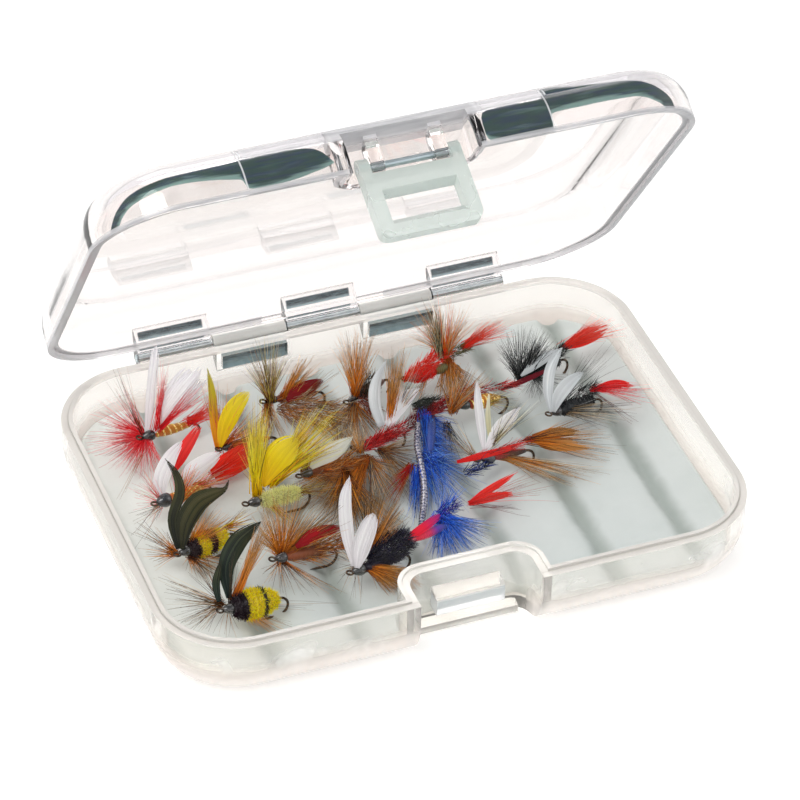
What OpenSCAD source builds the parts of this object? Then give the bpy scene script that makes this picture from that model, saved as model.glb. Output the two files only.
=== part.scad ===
// Hinged fly box: frosted tray with a foam sheet, clear lid, snap latch and tied flies.
// Millimetres. Origin at the middle of the tray's underside, +X to the right,
// +Y towards the hinge, +Z up. The lid is drawn standing part open.

/* [Case] */
// Width of the case, left to right
case_w = 120; // [112:1:130]
// Depth of the case, latch side to hinge side
case_d = 87; // [80:1:95]
// Radius of the corners seen from above
corner_r = 16.5; // [14:0.5:20]
// Height of the tray, underside to rim
tray_h = 14; // [13:0.5:16]
// Height of the lid, rim to top
lid_h = 10.65; // [10:0.25:13]
// Thickness of the tray's and lid's side walls
wall = 2.3; // [2:0.1:2.6]
// Thickness of the floor and of the top panel
panel = 1.6; // [1.4:0.1:2]
// Gap between the two rims when shut
rim_gap = 0.15; // [0.1:0.05:0.3]

/* [Pose] */
// Angle that the lid stands open
lid_open = 55; // [0:0.5:90]
// Angle that the latch is swung out from its snapped place
latch_out = 8; // [8:1:60]

/* [Hinge] */
// Distance of the hinge axis behind the back wall
hinge_out = 2.4; // [2.3:0.1:3]
// Drop of the hinge axis below the tray rim
hinge_drop = 0.7; // [0.5:0.1:1]
// Radius of the hinge barrels
barrel_r = 2.05; // [1.9:0.05:2.1]
// Radius of the hinge pin
hinge_pin_r = 0.8; // [0.7:0.05:0.9]
// Width of one barrel, five stand in a row
barrel_w = 15.4; // [14:0.1:15.5]
// Pitch of the barrels along the axis
barrel_pitch = 15.7; // [15.6:0.1:16]

/* [Latch] */
// Width of the latch plate
latch_w = 20; // [19:0.5:22]
// Width of the recess in the front wall
notch_w = 24.6; // [23.5:0.2:26]
// Depth of the recess in the front wall
notch_d = 9; // [8.5:0.1:9.5]
// Radius of the latch pin
latch_pin_r = 0.7; // [0.6:0.05:0.8]
// Width of the window through the latch
window_w = 14.6; // [13:0.2:15]

/* [Foam] */
// Height of the foam's ridges above the tray's underside
foam_top = 6; // [5.6:0.1:6.5]
// Distance from one groove to the next
groove_pitch = 17.35; // [16:0.05:19]
// Depth of the grooves
groove_h = 1.5; // [1:0.1:2]

/* [Flies] */
// Radius of the hook wire
wire_r = 0.26; // [0.22:0.02:0.32]
// Gap of the hooks, shank to point
gape = 4.4; // [4:0.1:5]
// Height of the flies' heads above the tray's underside
head_z = 11.2; // [10.8:0.1:11.6]
// Tilt of the shanks, tail end down
shank_tilt = 9; // [6:1:12]

/* [Hidden] */
$fn = 48;
frosted = [0.9, 0.89, 0.86, 0.75];
clear = [0.93, 0.95, 0.96, 0.35];
pearl = [0.84, 0.88, 0.86, 0.85];
steel = [0.55, 0.6, 0.64];
bronze = [0.25, 0.2, 0.16];
foam_grey = [0.83, 0.86, 0.86];
eps = 0.02;

hinge_y = case_d / 2 + hinge_out;
hinge_z = tray_h - hinge_drop;
rim_z = tray_h + rim_gap;          // underside of the shut lid
top_z = rim_z + lid_h;             // top of the shut lid
front_y = -case_d / 2;
back_y = case_d / 2;
recess_y = front_y + notch_d;      // back wall of the latch recess
pin_y = front_y + 4.9;             // latch axis with the lid shut
pin_z = tray_h + 2;
edge_h = 7;                        // tray's bottom edge, how far it runs in
edge_v = 9;                        // and how far up
brow_h = 6.5;                      // lid's top edge, how far it runs in
brow_v = 7;                        // and how far down

// One fly a row: place of the head, heading from head to tail, shank length,
// body radius, wing length, wing rise, hackle radius, tail length, body colour.
FLIES = [
  [-45.0,  24.5,  14, 11.5, 0.8,  9.0, 52, 3.2, 4.0, [0.85, 0.6, 0.15]],
  [-31.5,  16.0,  10, 11.0, 0.8,  9.0, 58, 3.0, 5.0, [0.75, 0.1, 0.1]],
  [-48.5,   4.5,  19, 11.5, 0.8,  9.5, 52, 2.6, 4.5, [0.8, 0.55, 0.1]],
  [-49.0, -11.0,  21, 12.0, 2.2,  9.5, 48, 3.2, 0.0, [0.85, 0.7, 0.1]],
  [-46.5, -29.0,   8, 12.0, 2.2,  9.5, 52, 3.4, 0.0, [0.85, 0.7, 0.1]],
  [-32.0,  -1.5,  10, 12.0, 0.9, 10.5, 50, 3.2, 3.0, [0.85, 0.75, 0.2]],
  [-32.5, -18.5,   7, 11.5, 0.9,  0.0, 45, 3.6, 3.0, [0.6, 0.05, 0.05]],
  [-20.0, -27.0,  16, 12.0, 1.8,  9.5, 55, 3.6, 3.0, [0.08, 0.08, 0.1]],
  [ -3.0,  21.5,  31, 11.5, 1.3,  0.0, 45, 3.8, 2.0, [0.45, 0.25, 0.1]],
  [ -6.5,   7.5,  17, 10.5, 0.9,  8.5, 50, 3.2, 3.0, [0.75, 0.1, 0.1]],
  [ 12.0,  15.5, 249, 14.0, 0.9,  0.0, 45, 3.2, 4.0, [0.1, 0.2, 0.6]],
  [ -7.5, -22.5,  22, 12.0, 0.9,  0.0, 45, 3.4, 5.0, [0.8, 0.1, 0.12]],
  [ 10.5,  24.5,  14, 11.5, 0.9,  7.0, 30, 3.6, 4.0, [0.45, 0.35, 0.15]],
  [ 17.0,  12.5,  11, 10.0, 0.9,  0.0, 45, 3.2, 0.0, [0.75, 0.5, 0.1]],
  [ 15.0,  -4.0,   7, 10.5, 0.9,  8.5, 62, 3.2, 4.0, [0.7, 0.1, 0.1]],
  [ 32.5,  18.0,  19, 11.0, 1.1,  8.0, 40, 3.2, 5.0, [0.08, 0.1, 0.1]],
  [ 33.5,   4.5,  16, 11.5, 1.3,  8.5, 50, 2.8, 5.0, [0.08, 0.1, 0.1]],
  [-18.5,  27.0,   7, 11.5, 0.9,  0.0, 45, 3.6, 3.0, [0.5, 0.05, 0.05]],
  [-19.5,   3.0,  18, 11.0, 1.0,  7.0, 40, 3.4, 2.0, [0.5, 0.25, 0.1]]
];

// ---- shared shapes ----

// Rounded-rectangle solid: the profile's first number runs out from the corner centre.
module pan(w, d, r, prof) {
  hx = w / 2 - r;
  hy = d / 2 - r;
  for (c = [[hx, hy, 0], [-hx, hy, 90], [-hx, -hy, 180], [hx, -hy, 270]])
    translate([c[0], c[1], 0]) rotate([0, 0, c[2]]) rotate_extrude(angle = 90) polygon(prof);
  for (s = [[hx, 0, 0, 2 * hy], [-hx, 0, 180, 2 * hy], [0, hy, 90, 2 * hx], [0, -hy, 270, 2 * hx]])
    translate([s[0], s[1], 0]) rotate([0, 0, s[2]])
      translate([0, s[3] / 2, 0]) rotate([90, 0, 0]) linear_extrude(s[3]) polygon(prof);
  translate([-hx, -hy, prof[0][1]]) cube([2 * hx, 2 * hy, prof[len(prof) - 1][1] - prof[0][1]]);
}

// Block with its two inner corners rounded, open towards -Y.
module bay(w, y0, y1, r, z0, z1) {
  translate([0, 0, z0]) linear_extrude(z1 - z0) union() {
    translate([-w / 2, y0]) square([w, y1 - r - y0]);
    translate([-w / 2 + r, y0]) square([w - 2 * r, y1 - y0]);
    for (s = [-1, 1]) translate([s * (w / 2 - r), y1 - r]) circle(r);
  }
}

// A y-z outline run along X, centred.
module along_x(w, outline) {
  translate([-w / 2, 0, 0]) rotate([90, 0, 90]) linear_extrude(w) polygon(outline);
}

// Cylinder along X.
module rod_x(x0, x1, y, z, r) {
  translate([x0, y, z]) rotate([0, 90, 0]) cylinder(h = x1 - x0, r = r);
}

// Turn a piece drawn with the lid shut to where the standing lid carries it.
module with_lid() {
  translate([0, hinge_y, hinge_z]) rotate([-lid_open, 0, 0]) translate([0, -hinge_y, -hinge_z]) children();
}

// Turn a piece drawn snapped shut to where the latch hangs on the lid.
module with_latch() {
  translate([0, pin_y, pin_z]) rotate([-latch_out, 0, 0]) translate([0, -pin_y, -pin_z]) children();
}

function arc_edge(r, h, v, z0, n) =
  [for (i = [0:n]) [r - h + h * sin(90 * i / n), z0 + v - v * cos(90 * i / n)]];
function brow_edge(r, h, v, z1, n) =
  [for (i = [0:n]) [r - h + h * cos(90 * i / n), z1 - v + v * sin(90 * i / n)]];

// ---- case ----

module tray_outside() {
  pan(case_w, case_d, corner_r,
    concat([[0, 0]], arc_edge(corner_r, edge_h, edge_v, 0, 9), [[corner_r, tray_h], [0, tray_h]]));
}

module tray_inside() {
  pan(case_w, case_d, corner_r,
    concat([[0, panel]], arc_edge(corner_r - wall, edge_h - 2, edge_v - 2.5, panel, 8),
      [[corner_r - wall, tray_h + 2], [0, tray_h + 2]]));
}

module base_tray() {
  color(frosted) difference() {
    union() {
      difference() {
        tray_outside();
        tray_inside();
      }
      // wall round the latch recess
      intersection() {
        bay(notch_w + 2 * wall, front_y - 1, recess_y + wall, 5.5, -1, tray_h);
        tray_outside();
      }
      // sealing lip that stands up inside the lid's rim
      translate([0, 0, tray_h - 0.5]) difference() {
        union() {
          difference() {
            pan(case_w - 2.8, case_d - 2.8, corner_r - 1.4, [[0, 0], [corner_r - 1.4, 0], [corner_r - 1.4, 1], [0, 1]]);
            pan(case_w - 2 * wall, case_d - 2 * wall, corner_r - wall, [[0, -1], [corner_r - wall, -1], [corner_r - wall, 2], [0, 2]]);
          }
          difference() {
            bay(notch_w + 2 * wall, front_y + 1.4, recess_y + wall, 5.5, 0, 1);
            translate([-case_w / 2, front_y - 1, -1]) cube([case_w, 1 + 1.4, 3]);
          }
        }
        bay(notch_w + 2.8, front_y - 1, recess_y + 1.4, 4.6, -1, 2);
      }
      // base barrels with their webs
      for (x = [-1, 1]) translate([x * barrel_pitch, 0, 0]) {
        rod_x(-barrel_w / 2, barrel_w / 2, hinge_y, hinge_z, barrel_r);
        along_x(barrel_w, [[back_y - 1, hinge_z - 5], [back_y + 0.6, hinge_z - 5],
          [hinge_y + barrel_r, hinge_z - 0.8], [hinge_y + barrel_r, hinge_z], [hinge_y - 1.2, hinge_z], [back_y - 1, hinge_z]]);
      }
    }
    // latch recess
    bay(notch_w, front_y - 2, recess_y, 3.6, -1, tray_h + 2);
    // slots behind the base barrels
    for (x = [-1, 1])
      translate([x * barrel_pitch - barrel_w / 2 + 0.8, back_y - wall - 1, tray_h - 4.4])
        cube([barrel_w - 1.6, wall + 0.5, 3.3]);
    rod_x(-3 * barrel_pitch, 3 * barrel_pitch, hinge_y, hinge_z, hinge_pin_r);
  }
  // catch bar and foot shelf in the recess
  color(frosted) {
    along_x(window_w - 0.8, [[recess_y + 0.6, 5], [recess_y - 3.0, 5], [recess_y - 3.4, 5.4], [recess_y - 3.4, 8.6],
      [recess_y - 2.8, 9.3], [recess_y + 0.6, 10]]);
    along_x(notch_w - 4, [[recess_y + 0.6, 0], [recess_y - 1.8, 0], [recess_y - 2.2, 0.5], [recess_y - 2.0, 1.8], [recess_y + 0.6, 2.6]]);
  }
}

module lid_outside() {
  pan(case_w, case_d, corner_r,
    concat([[0, rim_z], [corner_r, rim_z]], brow_edge(corner_r, brow_h, brow_v, top_z, 8), [[0, top_z]]));
}

module lid_shut() {
  union() {
    difference() {
      union() {
        difference() {
          lid_outside();
          pan(case_w, case_d, corner_r,
            concat([[0, rim_z - 1], [corner_r - wall, rim_z - 1]],
              brow_edge(corner_r - wall, brow_h - 0.8, brow_v - 1.2, top_z - panel, 8), [[0, top_z - panel]]));
        }
        // wall round the latch recess, closed over by a sloping roof
        intersection() {
          bay(notch_w + 2 * wall, front_y - 1, recess_y + wall, 5.5, rim_z, top_z);
          along_x(notch_w + 2 * wall, [[front_y - 2, rim_z], [recess_y + wall, rim_z], [recess_y + wall, rim_z + 5.4],
            [front_y + 3.1, top_z - 0.8], [front_y - 2, top_z - 0.8]]);
          lid_outside();
        }
        // lid barrels with their webs
        for (x = [-2, 0, 2]) translate([x * barrel_pitch, 0, 0]) {
          rod_x(-barrel_w / 2, barrel_w / 2, hinge_y, hinge_z, barrel_r);
          along_x(barrel_w, [[back_y - 1, rim_z], [hinge_y - 1.9, rim_z], [hinge_y - 1.2, hinge_z], [hinge_y + barrel_r, hinge_z],
            [hinge_y + barrel_r, hinge_z + 0.9], [back_y + 1.2, rim_z + 4], [back_y + 0.5, rim_z + 4.5], [back_y - 1, rim_z + 4.5]]);
        }
      }
      // room for the tray's lip
      difference() {
        pan(case_w - 2.3, case_d - 2.3, corner_r - 1.15,
          [[0, rim_z - 1], [corner_r - 1.15, rim_z - 1], [corner_r - 1.15, rim_z + 0.75], [0, rim_z + 0.75]]);
        bay(notch_w + 2.3, front_y - 1, recess_y + 1.15, 4.4, rim_z - 2, rim_z + 2);
      }
      // latch recess
      intersection() {
        bay(notch_w, front_y - 2, recess_y, 3.6, rim_z - 2, top_z);
        along_x(notch_w, [[front_y - 3, rim_z - 2], [recess_y, rim_z - 2], [recess_y, rim_z + 4.4],
          [front_y + 0.9, top_z - 1.9], [front_y - 3, top_z - 1.9]]);
      }
      rod_x(-3 * barrel_pitch, 3 * barrel_pitch, hinge_y, hinge_z, hinge_pin_r + 0.06);
    }
    // lugs that carry the latch pin
    for (s = [-1, 1]) difference() {
      intersection() {
        union() {
          rod_x(s * 6.3 - 1.3, s * 6.3 + 1.3, pin_y, pin_z, 1.7);
          translate([s * 6.3 - 1.3, pin_y - 1.7, pin_z]) cube([2.6, 3.4, 6.4]);
        }
        lid_outside_low();
      }
      rod_x(s * 6.3 - 3, s * 6.3 + 3, pin_y, pin_z, latch_pin_r);
    }
  }
}

// The lid's outline carried down past the rim, so the lugs may reach below it.
module lid_outside_low() {
  pan(case_w, case_d, corner_r,
    concat([[0, rim_z - 3], [corner_r, rim_z - 3]], brow_edge(corner_r, brow_h, brow_v, top_z, 8), [[0, top_z]]));
}

module lid() {
  color(clear) with_lid() lid_shut();
}

module hinge_pin() {
  color(steel) rod_x(-2.5 * barrel_pitch, 2.5 * barrel_pitch, hinge_y, hinge_z, hinge_pin_r);
}

module latch() {
  y0 = pin_y + 1.6;    // inner face
  y1 = pin_y - 1.8;    // outer face
  color(pearl) with_lid() with_latch() difference() {
    union() {
      along_x(latch_w, [[y0, pin_z], [y0, 1.5], [y0 - 0.6, 0.8], [y1 + 0.5, 0.8], [y1, 1.4], [y1, pin_z]]);
      rod_x(-latch_w / 2, latch_w / 2, pin_y, pin_z, 1.75);
    }
    // rounded lower corners
    for (s = [-1, 1]) translate([s * (latch_w / 2 - 2), y0 + 1, 0]) rotate([90, 0, 0]) linear_extrude(6) difference() {
      translate([s * 2 - 2, 0]) square([4, 2.8]);
      translate([0, 2.8]) circle(2);
    }
    // window, wider towards the outer face
    along_x(window_w, [[y0 + 1, 4.75], [pin_y + 0.2, 4.75], [y1 - 0.5, 2.7], [y1 - 0.5, 10.4], [pin_y, 9.8], [y0 + 1, 9.8]]);
    // room for the lid's lugs
    translate([-7.9, pin_y - 4, pin_z - 2.1]) cube([15.8, 8, 6]);
    rod_x(-latch_w, latch_w, pin_y, pin_z, latch_pin_r + 0.06);
  }
}

module latch_pin() {
  color(steel) with_lid() rod_x(-latch_w / 2, latch_w / 2, pin_y, pin_z, latch_pin_r);
}

module foam_insert() {
  edge_r = corner_r - wall - 0.25;
  color(foam_grey) difference() {
    pan(case_w, case_d, corner_r,
      concat([[0, panel]], [for (a = [0:13:65]) [edge_r - edge_h + 2 + (edge_h - 2) * sin(a),
        panel + (edge_v - 2.5) * (1 - cos(a))]],
        [[edge_r - 0.35, foam_top - 0.25], [edge_r - 0.65, foam_top], [0, foam_top]]));
    // grooves that run front to back
    for (i = [-3:3]) translate([12.7 + (i - 1) * groove_pitch, 0, 0]) rotate([90, 0, 0])
      translate([0, 0, -case_d / 2]) linear_extrude(case_d)
        polygon([[-1.1, foam_top - groove_h], [1.1, foam_top - groove_h], [2.3, foam_top + 0.1], [-2.3, foam_top + 0.1]]);
    // room for the latch recess
    bay(notch_w + 2 * wall + 0.6, front_y - 1, recess_y + wall + 0.3, 5.8, -1, tray_h);
  }
}

// ---- flies ----

// Stand a fly in its place: local +X runs from head to tail.
module perch(f) {
  translate([f[0], f[1], head_z]) rotate([0, 0, f[2]]) rotate([0, shank_tilt, 0]) children();
}

// Bent wire hook: eye, shank, bend and point.
module fly_hook(f) {
  s = f[3];
  b = gape / 2;
  color(bronze) perch(f) union() {
    translate([-0.55, 0, 0]) rotate_extrude() translate([0.62, 0]) circle(0.2, $fn = 16);
    rotate([0, 90, 0]) cylinder(h = s, r = wire_r, $fn = 16);
    translate([s, 0, -b]) rotate([90, 0, 0]) rotate([0, 0, -90]) rotate_extrude(angle = 180)
      translate([b, 0]) circle(wire_r, $fn = 16);
    translate([s, 0, -gape]) rotate([0, -90, 0]) cylinder(h = 1.8, r = wire_r, $fn = 16);
    translate([s - 1.8, 0, -gape]) rotate([0, -90, 0]) cylinder(h = 1.4, r1 = wire_r, r2 = 0.05, $fn = 16);
  }
}

// Leaf outline of a wing or tail, root at the origin, tip along +X.
function leaf(l, w) = [[0, -0.25], [l * 0.3, -w * 0.42], [l * 0.6, -w * 0.5], [l * 0.85, -w * 0.3], [l, 0],
  [l * 0.85, w * 0.3], [l * 0.6, w * 0.5], [l * 0.3, w * 0.42], [0, 0.25]];

// Radius of a fly's body at x along a shank of length s, br at its thickest.
function girth(s, br, x) = 0.42 + (br - 0.42) * sin(180 * pow((x - 1.2) / (s - 1.6), 0.9));

// What is tied to a hook: head, hackle collar and body in one turned shape, wing and tail.
module fly_dressing(f) {
  s = f[3];
  br = f[4];
  wl = f[5];
  hr = f[7];
  tl = f[8];
  n = 7;
  color(f[9]) perch(f) union() {
    rotate([0, 90, 0]) rotate_extrude($fn = 24) polygon(concat(
      [[0, 0.5], [0.5, 0.6], [0.8, 1.1], [0.8, 1.6], [0.6, 1.95], [hr, 3.25], [hr, 3.55]],
      [for (i = [0:n]) let (x = 2.75 + (s - 3.15) * i / n) [girth(s, br, x), x]], [[0, s - 0.2]]));
    if (wl > 0) translate([2.1, 0, 0]) rotate([0, -f[6], 0]) rotate([90, 0, 0])
      translate([0, 0, -0.25]) linear_extrude(0.5) polygon(leaf(wl, 3));
    if (tl > 0) translate([s - 1, 0, 0]) rotate([0, -12, 0])
      translate([0, 0, -0.22]) linear_extrude(0.44) polygon(leaf(tl + 1, 1.7));
  }
}

base_tray();
lid();
hinge_pin();
latch();
latch_pin();
foam_insert();
fly_hook(FLIES[0]);  // hook_01
fly_hook(FLIES[1]);  // hook_02
fly_hook(FLIES[2]);  // hook_03
fly_hook(FLIES[3]);  // hook_04
fly_hook(FLIES[4]);  // hook_05
fly_hook(FLIES[5]);  // hook_06
fly_hook(FLIES[6]);  // hook_07
fly_hook(FLIES[7]);  // hook_08
fly_hook(FLIES[8]);  // hook_09
fly_hook(FLIES[9]);  // hook_10
fly_hook(FLIES[10]);  // hook_11
fly_hook(FLIES[11]);  // hook_12
fly_hook(FLIES[12]);  // hook_13
fly_hook(FLIES[13]);  // hook_14
fly_hook(FLIES[14]);  // hook_15
fly_hook(FLIES[15]);  // hook_16
fly_hook(FLIES[16]);  // hook_17
fly_hook(FLIES[17]);  // hook_18
fly_hook(FLIES[18]);  // hook_19
fly_dressing(FLIES[0]);  // dressing_01
fly_dressing(FLIES[1]);  // dressing_02
fly_dressing(FLIES[2]);  // dressing_03
fly_dressing(FLIES[3]);  // dressing_04
fly_dressing(FLIES[4]);  // dressing_05
fly_dressing(FLIES[5]);  // dressing_06
fly_dressing(FLIES[6]);  // dressing_07
fly_dressing(FLIES[7]);  // dressing_08
fly_dressing(FLIES[8]);  // dressing_09
fly_dressing(FLIES[9]);  // dressing_10
fly_dressing(FLIES[10]);  // dressing_11
fly_dressing(FLIES[11]);  // dressing_12
fly_dressing(FLIES[12]);  // dressing_13
fly_dressing(FLIES[13]);  // dressing_14
fly_dressing(FLIES[14]);  // dressing_15
fly_dressing(FLIES[15]);  // dressing_16
fly_dressing(FLIES[16]);  // dressing_17
fly_dressing(FLIES[17]);  // dressing_18
fly_dressing(FLIES[18]);  // dressing_19
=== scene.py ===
import math

import bmesh
import bpy
import numpy as np
from mathutils import Matrix, Vector


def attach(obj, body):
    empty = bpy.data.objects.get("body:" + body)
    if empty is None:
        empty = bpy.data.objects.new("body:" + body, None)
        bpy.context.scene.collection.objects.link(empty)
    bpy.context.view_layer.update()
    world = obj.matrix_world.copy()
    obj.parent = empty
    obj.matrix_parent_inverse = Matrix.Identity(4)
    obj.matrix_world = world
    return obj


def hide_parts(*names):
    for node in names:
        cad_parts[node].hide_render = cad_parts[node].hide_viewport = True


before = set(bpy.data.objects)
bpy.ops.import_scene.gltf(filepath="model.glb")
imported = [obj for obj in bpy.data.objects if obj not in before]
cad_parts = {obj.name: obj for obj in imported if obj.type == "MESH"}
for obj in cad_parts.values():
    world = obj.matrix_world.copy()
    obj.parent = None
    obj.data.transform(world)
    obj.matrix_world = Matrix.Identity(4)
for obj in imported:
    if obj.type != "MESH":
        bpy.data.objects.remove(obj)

bpy.context.view_layer.update()
rng = np.random.default_rng(11)

# ---------------------------------------------------------------- camera
# Millimetres here; everything handed to Blender is divided by 1000.
YAW, PITCH, ROLL, FOCAL = 0.374503, 0.678765, 0.021236, 4145.35
EYE = np.array([-227.729, -578.286, 528.340])
FWD = np.array([math.sin(YAW) * math.cos(PITCH), math.cos(YAW) * math.cos(PITCH), -math.sin(PITCH)])
_right = np.array([math.cos(YAW), -math.sin(YAW), 0.0])
_up = np.cross(_right, FWD)
RIGHT = math.cos(ROLL) * _right + math.sin(ROLL) * _up
UP = -math.sin(ROLL) * _right + math.cos(ROLL) * _up

scene = bpy.context.scene
cam_data = bpy.data.cameras.new("camera")
cam_data.sensor_width = 36.0
cam_data.lens = FOCAL / 800.0 * 36.0
cam_data.clip_start, cam_data.clip_end = 0.05, 20.0
cam = bpy.data.objects.new("camera", cam_data)
scene.collection.objects.link(cam)
m = Matrix.Identity(4)
for i in range(3):
    m[i][0], m[i][1], m[i][2], m[i][3] = RIGHT[i], UP[i], -FWD[i], EYE[i] / 1000.0
cam.matrix_world = m
scene.camera = cam


def at(u, v, z):
    """Place on the view's line through (u, v) of the 800 frame at height z, in mm."""
    d = FWD + (u - 400.0) / FOCAL * RIGHT - (v - 400.0) / FOCAL * UP
    return EYE + d * (z - EYE[2]) / d[2]


# ---------------------------------------------------------------- sizes shared with the CAD source
CASE_W, CASE_D, CORNER, WALL, PANEL = 120.0, 87.0, 16.5, 2.3, 1.6
HINGE_Y, HINGE_Z, OPEN = 45.9, 13.3, math.radians(55.0)
RIM_Z, TOP_Z = 14.15, 24.8
FOAM_TOP, GROOVE_PITCH = 6.0, 17.35


# ---------------------------------------------------------------- material helpers
def lin(r, g, b):
    """sRGB 0-255 to linear."""
    out = []
    for c in (r, g, b):
        c /= 255.0
        out.append(c / 12.92 if c <= 0.04045 else ((c + 0.055) / 1.055) ** 2.4)
    return out


class Nodes:
    """Short hand for building a node tree."""

    def __init__(self, name):
        self.mat = bpy.data.materials.new(name)
        self.mat.use_nodes = True
        self.tree = self.mat.node_tree
        self.bsdf = self.tree.nodes["Principled BSDF"]
        self.out = self.tree.nodes["Material Output"]
        self.x = -300

    def add(self, kind, **values):
        n = self.tree.nodes.new(kind)
        self.x -= 40
        n.location = (self.x, -self.x % 700)
        for k, v in values.items():
            setattr(n, k, v)
        return n

    def link(self, a, b):
        self.tree.links.new(a, b)

    def put(self, socket, value):
        if hasattr(value, "is_output") or isinstance(value, bpy.types.NodeSocket):
            self.link(value, socket)
        else:
            socket.default_value = value

    def math(self, op, a, b=0.0, c=0.0, clamp=False):
        n = self.add("ShaderNodeMath", operation=op, use_clamp=clamp)
        self.put(n.inputs[0], a)
        self.put(n.inputs[1], b)
        if len(n.inputs) > 2:
            self.put(n.inputs[2], c)
        return n.outputs[0]

    def noise(self, scale, detail=3.0, rough=0.55, vector=None, distortion=0.0):
        n = self.add("ShaderNodeTexNoise")
        n.inputs["Scale"].default_value = scale
        n.inputs["Detail"].default_value = detail
        n.inputs["Roughness"].default_value = rough
        n.inputs["Distortion"].default_value = distortion
        if vector is not None:
            self.link(vector, n.inputs["Vector"])
        return n.outputs["Fac"]

    def span(self, value, a, b, c=0.0, d=1.0, smooth=False):
        n = self.add("ShaderNodeMapRange")
        n.interpolation_type = "SMOOTHSTEP" if smooth else "LINEAR"
        self.put(n.inputs["Value"], value)
        for s, x in zip(("From Min", "From Max", "To Min", "To Max"), (a, b, c, d)):
            self.put(n.inputs[s], x)
        return n.outputs["Result"]

    def mix_colour(self, fac, a, b, blend="MIX"):
        n = self.add("ShaderNodeMix", data_type="RGBA", blend_type=blend)
        self.put(n.inputs[0], fac)
        self.put(n.inputs[6], a if not isinstance(a, (list, tuple)) else (*a[:3], 1.0))
        self.put(n.inputs[7], b if not isinstance(b, (list, tuple)) else (*b[:3], 1.0))
        return n.outputs[2]

    def curve(self, value, points, lo=13.0, hi=23.5):
        """Piecewise curve through (value, result) pairs."""
        n = self.add("ShaderNodeFloatCurve")
        x0, x1 = points[0][0], points[-1][0]
        c = n.mapping.curves[0]
        pts = [((x - x0) / (x1 - x0), (y - lo) / (hi - lo)) for x, y in points]
        c.points[0].location, c.points[-1].location = pts[0], pts[-1]
        for q in pts[1:-1]:
            c.points.new(*q)
        n.mapping.update()
        self.put(n.inputs["Value"], self.span(value, x0, x1))
        return self.span(n.outputs["Value"], 0.0, 1.0, lo, hi)

    def within(self, value, a, b, soft=0.1):
        """1 between a and b, 0 outside."""
        return self.math("MULTIPLY", self.span(value, a - soft, a + soft, smooth=True), self.span(value, b - soft, b + soft, 1.0, 0.0, smooth=True))

    def product(self, *values):
        out = values[0]
        for v in values[1:]:
            out = self.math("MULTIPLY", out, v)
        return out

    def shader(self, colour, rough, metal=0.0, coat=0.0, normal=None, spec=0.5):
        d = self.add("ShaderNodeBsdfPrincipled")
        self.put(d.inputs["Base Color"], colour if not isinstance(colour, (list, tuple)) else (*colour[:3], 1.0))
        self.put(d.inputs["Roughness"], rough)
        d.inputs["Metallic"].default_value = metal
        d.inputs["Coat Weight"].default_value = coat
        d.inputs["Specular IOR Level"].default_value = spec
        if normal is not None:
            self.link(normal, d.inputs["Normal"])
        return d.outputs[0]

    def over(self, base, top, factor):
        m = self.add("ShaderNodeMixShader")
        self.link(factor, m.inputs[0])
        self.link(base, m.inputs[1])
        self.link(top, m.inputs[2])
        return m.outputs[0]

    def bump(self, height, strength, distance, normal=None):
        n = self.add("ShaderNodeBump")
        n.inputs["Strength"].default_value = strength
        n.inputs["Distance"].default_value = distance
        self.link(height, n.inputs["Height"])
        if normal is not None:
            self.link(normal, n.inputs["Normal"])
        return n.outputs["Normal"]

    def object_coords(self):
        return self.add("ShaderNodeTexCoord").outputs["Object"]

    def set(self, **values):
        for k, v in values.items():
            self.put(self.bsdf.inputs[k.replace("_", " ")], v)

    def lamps_through(self, tint):
        """Shadow rays pass, so what is inside stays lit."""
        path = self.add("ShaderNodeLightPath")
        clear = self.add("ShaderNodeBsdfTransparent")
        clear.inputs["Color"].default_value = (*tint, 1.0)
        mix = self.add("ShaderNodeMixShader")
        self.link(path.outputs["Is Shadow Ray"], mix.inputs[0])
        self.link(self.bsdf.outputs[0], mix.inputs[1])
        self.link(clear.outputs[0], mix.inputs[2])
        self.link(mix.outputs[0], self.out.inputs["Surface"])
        return mix


def shut_coords(n):
    """Object coordinates turned back to where the lid lies when shut: x, y, z in mm."""
    v = n.add("ShaderNodeVectorMath", operation="SCALE")
    n.link(n.object_coords(), v.inputs[0])
    v.inputs["Scale"].default_value = 1000.0
    s = n.add("ShaderNodeSeparateXYZ")
    n.link(v.outputs[0], s.inputs[0])
    y = n.math("SUBTRACT", s.outputs["Y"], HINGE_Y)
    z = n.math("SUBTRACT", s.outputs["Z"], HINGE_Z)
    c, k = math.cos(OPEN), math.sin(OPEN)
    ys = n.math("ADD", n.math("SUBTRACT", n.math("MULTIPLY", y, c), n.math("MULTIPLY", z, k)), HINGE_Y)
    zs = n.math("ADD", n.math("ADD", n.math("MULTIPLY", y, k), n.math("MULTIPLY", z, c)), HINGE_Z)
    return s.outputs["X"], ys, zs


# ---------------------------------------------------------------- materials of the case
def shade_and_reflection_bar(n, place, across, seed_scale=(0.12, 1.1)):
    """Dark blue-grey glossy bar of painted shade and reflection, with a painted highlight along its lower edge and a
    lighter top edge; across runs 0 to 1 up the bar.
    """
    v = n.add("ShaderNodeCombineXYZ")
    n.link(n.math("MULTIPLY", place, seed_scale[0]), v.inputs[0])
    n.link(n.math("MULTIPLY", across, 3.0 * seed_scale[1]), v.inputs[2])
    lines = n.noise(3.0, 4.0, 0.6, v.outputs[0], 0.2)
    tone = n.math("ADD", n.span(across, 0.42, 0.05, 0.0, 0.75, smooth=True), n.span(lines, 0.42, 0.75, 0.0, 0.45))
    tone = n.math("MAXIMUM", tone, n.span(across, 0.86, 0.98, 0.0, 0.7))
    return n.shader(n.mix_colour(tone, lin(28, 54, 64), lin(178, 204, 210)), 0.18, 0.2, 0.6)


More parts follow.
